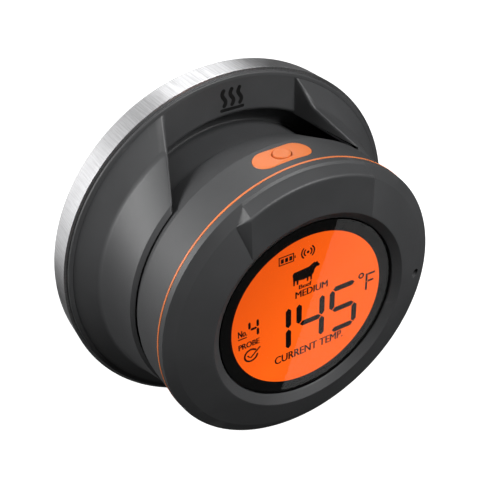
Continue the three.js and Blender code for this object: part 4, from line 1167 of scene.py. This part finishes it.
# ---- Camera, floor and light ----
# The camera stands a little above the object and to its left. The floor is a plain pale sheet.
# A high softbox behind on the left, another in front on the right, and cards that the window and steel mirror.
CAMERA_PLACE = (-0.10729, -0.20271, 0.15196)
CAMERA_AIM = (0.00159, -0.0095, -0.00056)
CAMERA_LENS = 65.94
CAMERA_ROLL = math.radians(-2.02)

camera = bpy.data.objects.new("camera", bpy.data.cameras.new("camera"))
bpy.context.scene.collection.objects.link(camera)
camera.data.lens = CAMERA_LENS
camera.data.sensor_width = 36
camera.data.clip_start = 0.01
camera.data.clip_end = 20
camera.location = CAMERA_PLACE
look = Vector(CAMERA_AIM) - Vector(CAMERA_PLACE)
camera.rotation_mode = "QUATERNION"
camera.rotation_quaternion = look.to_track_quat("-Z", "Y") @ Quaternion((0, 0, 1), CAMERA_ROLL)
bpy.context.scene.camera = camera

FLOOR_SIDE = 8.0
floor_mesh = bpy.data.meshes.new("floor")
edge_at = FLOOR_SIDE / 2
floor_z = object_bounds()[0].z - 0.0005
floor_mesh.from_pydata([(x * edge_at, y * edge_at, floor_z) for x, y in ((-1, -1), (1, -1), (1, 1), (-1, 1))],
                       [], [(0, 1, 2, 3)])
floor = bpy.data.objects.new("floor", floor_mesh)
bpy.context.scene.collection.objects.link(floor)
paper = bpy.data.materials.new("pale_floor")
paper.use_nodes = True
paper_shader = paper.node_tree.nodes["Principled BSDF"]
paper_shader.inputs["Base Color"].default_value = (0.5, 0.5, 0.5, 1)
paper_shader.inputs["Roughness"].default_value = 1.0
paper_shader.inputs["Specular IOR Level"].default_value = 0.0
paper_shader.inputs["Emission Color"].default_value = (1, 1, 1, 1)
paper_shader.inputs["Emission Strength"].default_value = 0.92
dress(floor, paper)
floor.visible_diffuse = False
floor.visible_glossy = False
floor.visible_transmission = False

world = bpy.data.worlds.new("studio")
bpy.context.scene.world = world
world.use_nodes = True
sky = world.node_tree.nodes["Background"]
sky.inputs["Color"].default_value = (1, 1, 1, 1)
path = add(world.node_tree, "ShaderNodeLightPath")
sky_strength = spread(world.node_tree, path.outputs["Is Camera Ray"], 0, 1, 0.04, 1.2)
world.node_tree.links.new(sky_strength, sky.inputs["Strength"])


def softbox(name, place, aim, width, height, power):
    """A rectangular area light that faces a point."""
    light = bpy.data.lights.new(name, "AREA")
    light.shape = "RECTANGLE"
    light.size = width
    light.size_y = height
    light.energy = power
    box = bpy.data.objects.new(name, light)
    bpy.context.scene.collection.objects.link(box)
    box.location = place
    box.rotation_mode = "QUATERNION"
    box.rotation_quaternion = (Vector(aim) - Vector(place)).to_track_quat("-Z", "Y")
    return box


softbox("upper_left", (-0.68, 0.3, 0.34), (0, -0.02, 0), 0.4, 0.4, 6.2)
softbox("front_right", (0.2, -0.5, 0.6), (0, -0.02, 0), 0.4, 0.4, 6.5)


def reflector(name, corners, radiance):
    """A glowing card that lights nothing and is only seen in reflections."""
    sheet = bpy.data.meshes.new(name)
    sheet.from_pydata(corners, [], [(0, 1, 2, 3)])
    card = bpy.data.objects.new(name, sheet)
    bpy.context.scene.collection.objects.link(card)
    glow = bpy.data.materials.new(name)
    glow.use_nodes = True
    shader = glow.node_tree.nodes["Principled BSDF"]
    shader.inputs["Base Color"].default_value = (0, 0, 0, 1)
    shader.inputs["Emission Color"].default_value = (1, 1, 1, 1)
    shader.inputs["Emission Strength"].default_value = radiance
    dress(card, glow)
    card.visible_camera = False
    card.visible_diffuse = False
    card.visible_shadow = False
    return card


# The window mirrors a card on the floor, which has one straight edge across the front.
CARD_EDGE = ((0.0077, -0.0746), (0.0861, -0.1501))
WINDOW_CARD_GLOW = 0.55
edge = [Vector((*point, floor_z + 0.0005)) for point in CARD_EDGE]
along = (edge[1] - edge[0]).normalized()
away = Vector((-along.y, along.x, 0))
window_card = reflector("window_card", [edge[0] - along, edge[1] + along, edge[1] + along + away,
                                        edge[0] - along + away], WINDOW_CARD_GLOW)
window_card.visible_glossy = False

# The steel mirrors two tall cards far behind it, a bright one above and a dimmer one at the left.
CARD_DISTANCE = 0.75
TOP_CARD_GLOW = 2.7
LEFT_CARD_GLOW = 0.9


def tall_card(name, left, right, low, high, radiance):
    """A reflector behind the object, square to its axis."""
    corners = [(left, CARD_DISTANCE, low), (right, CARD_DISTANCE, low), (right, CARD_DISTANCE, high),
               (left, CARD_DISTANCE, high)]
    reflector(name, corners, radiance).visible_transmission = False


tall_card("steel_card_top", 0.0, 0.5, 0.3, 1.0, TOP_CARD_GLOW)
tall_card("steel_card_left", -0.95, -0.05, -0.4, 0.75, LEFT_CARD_GLOW)
bpy.context.scene.view_settings.view_transform = "Standard"
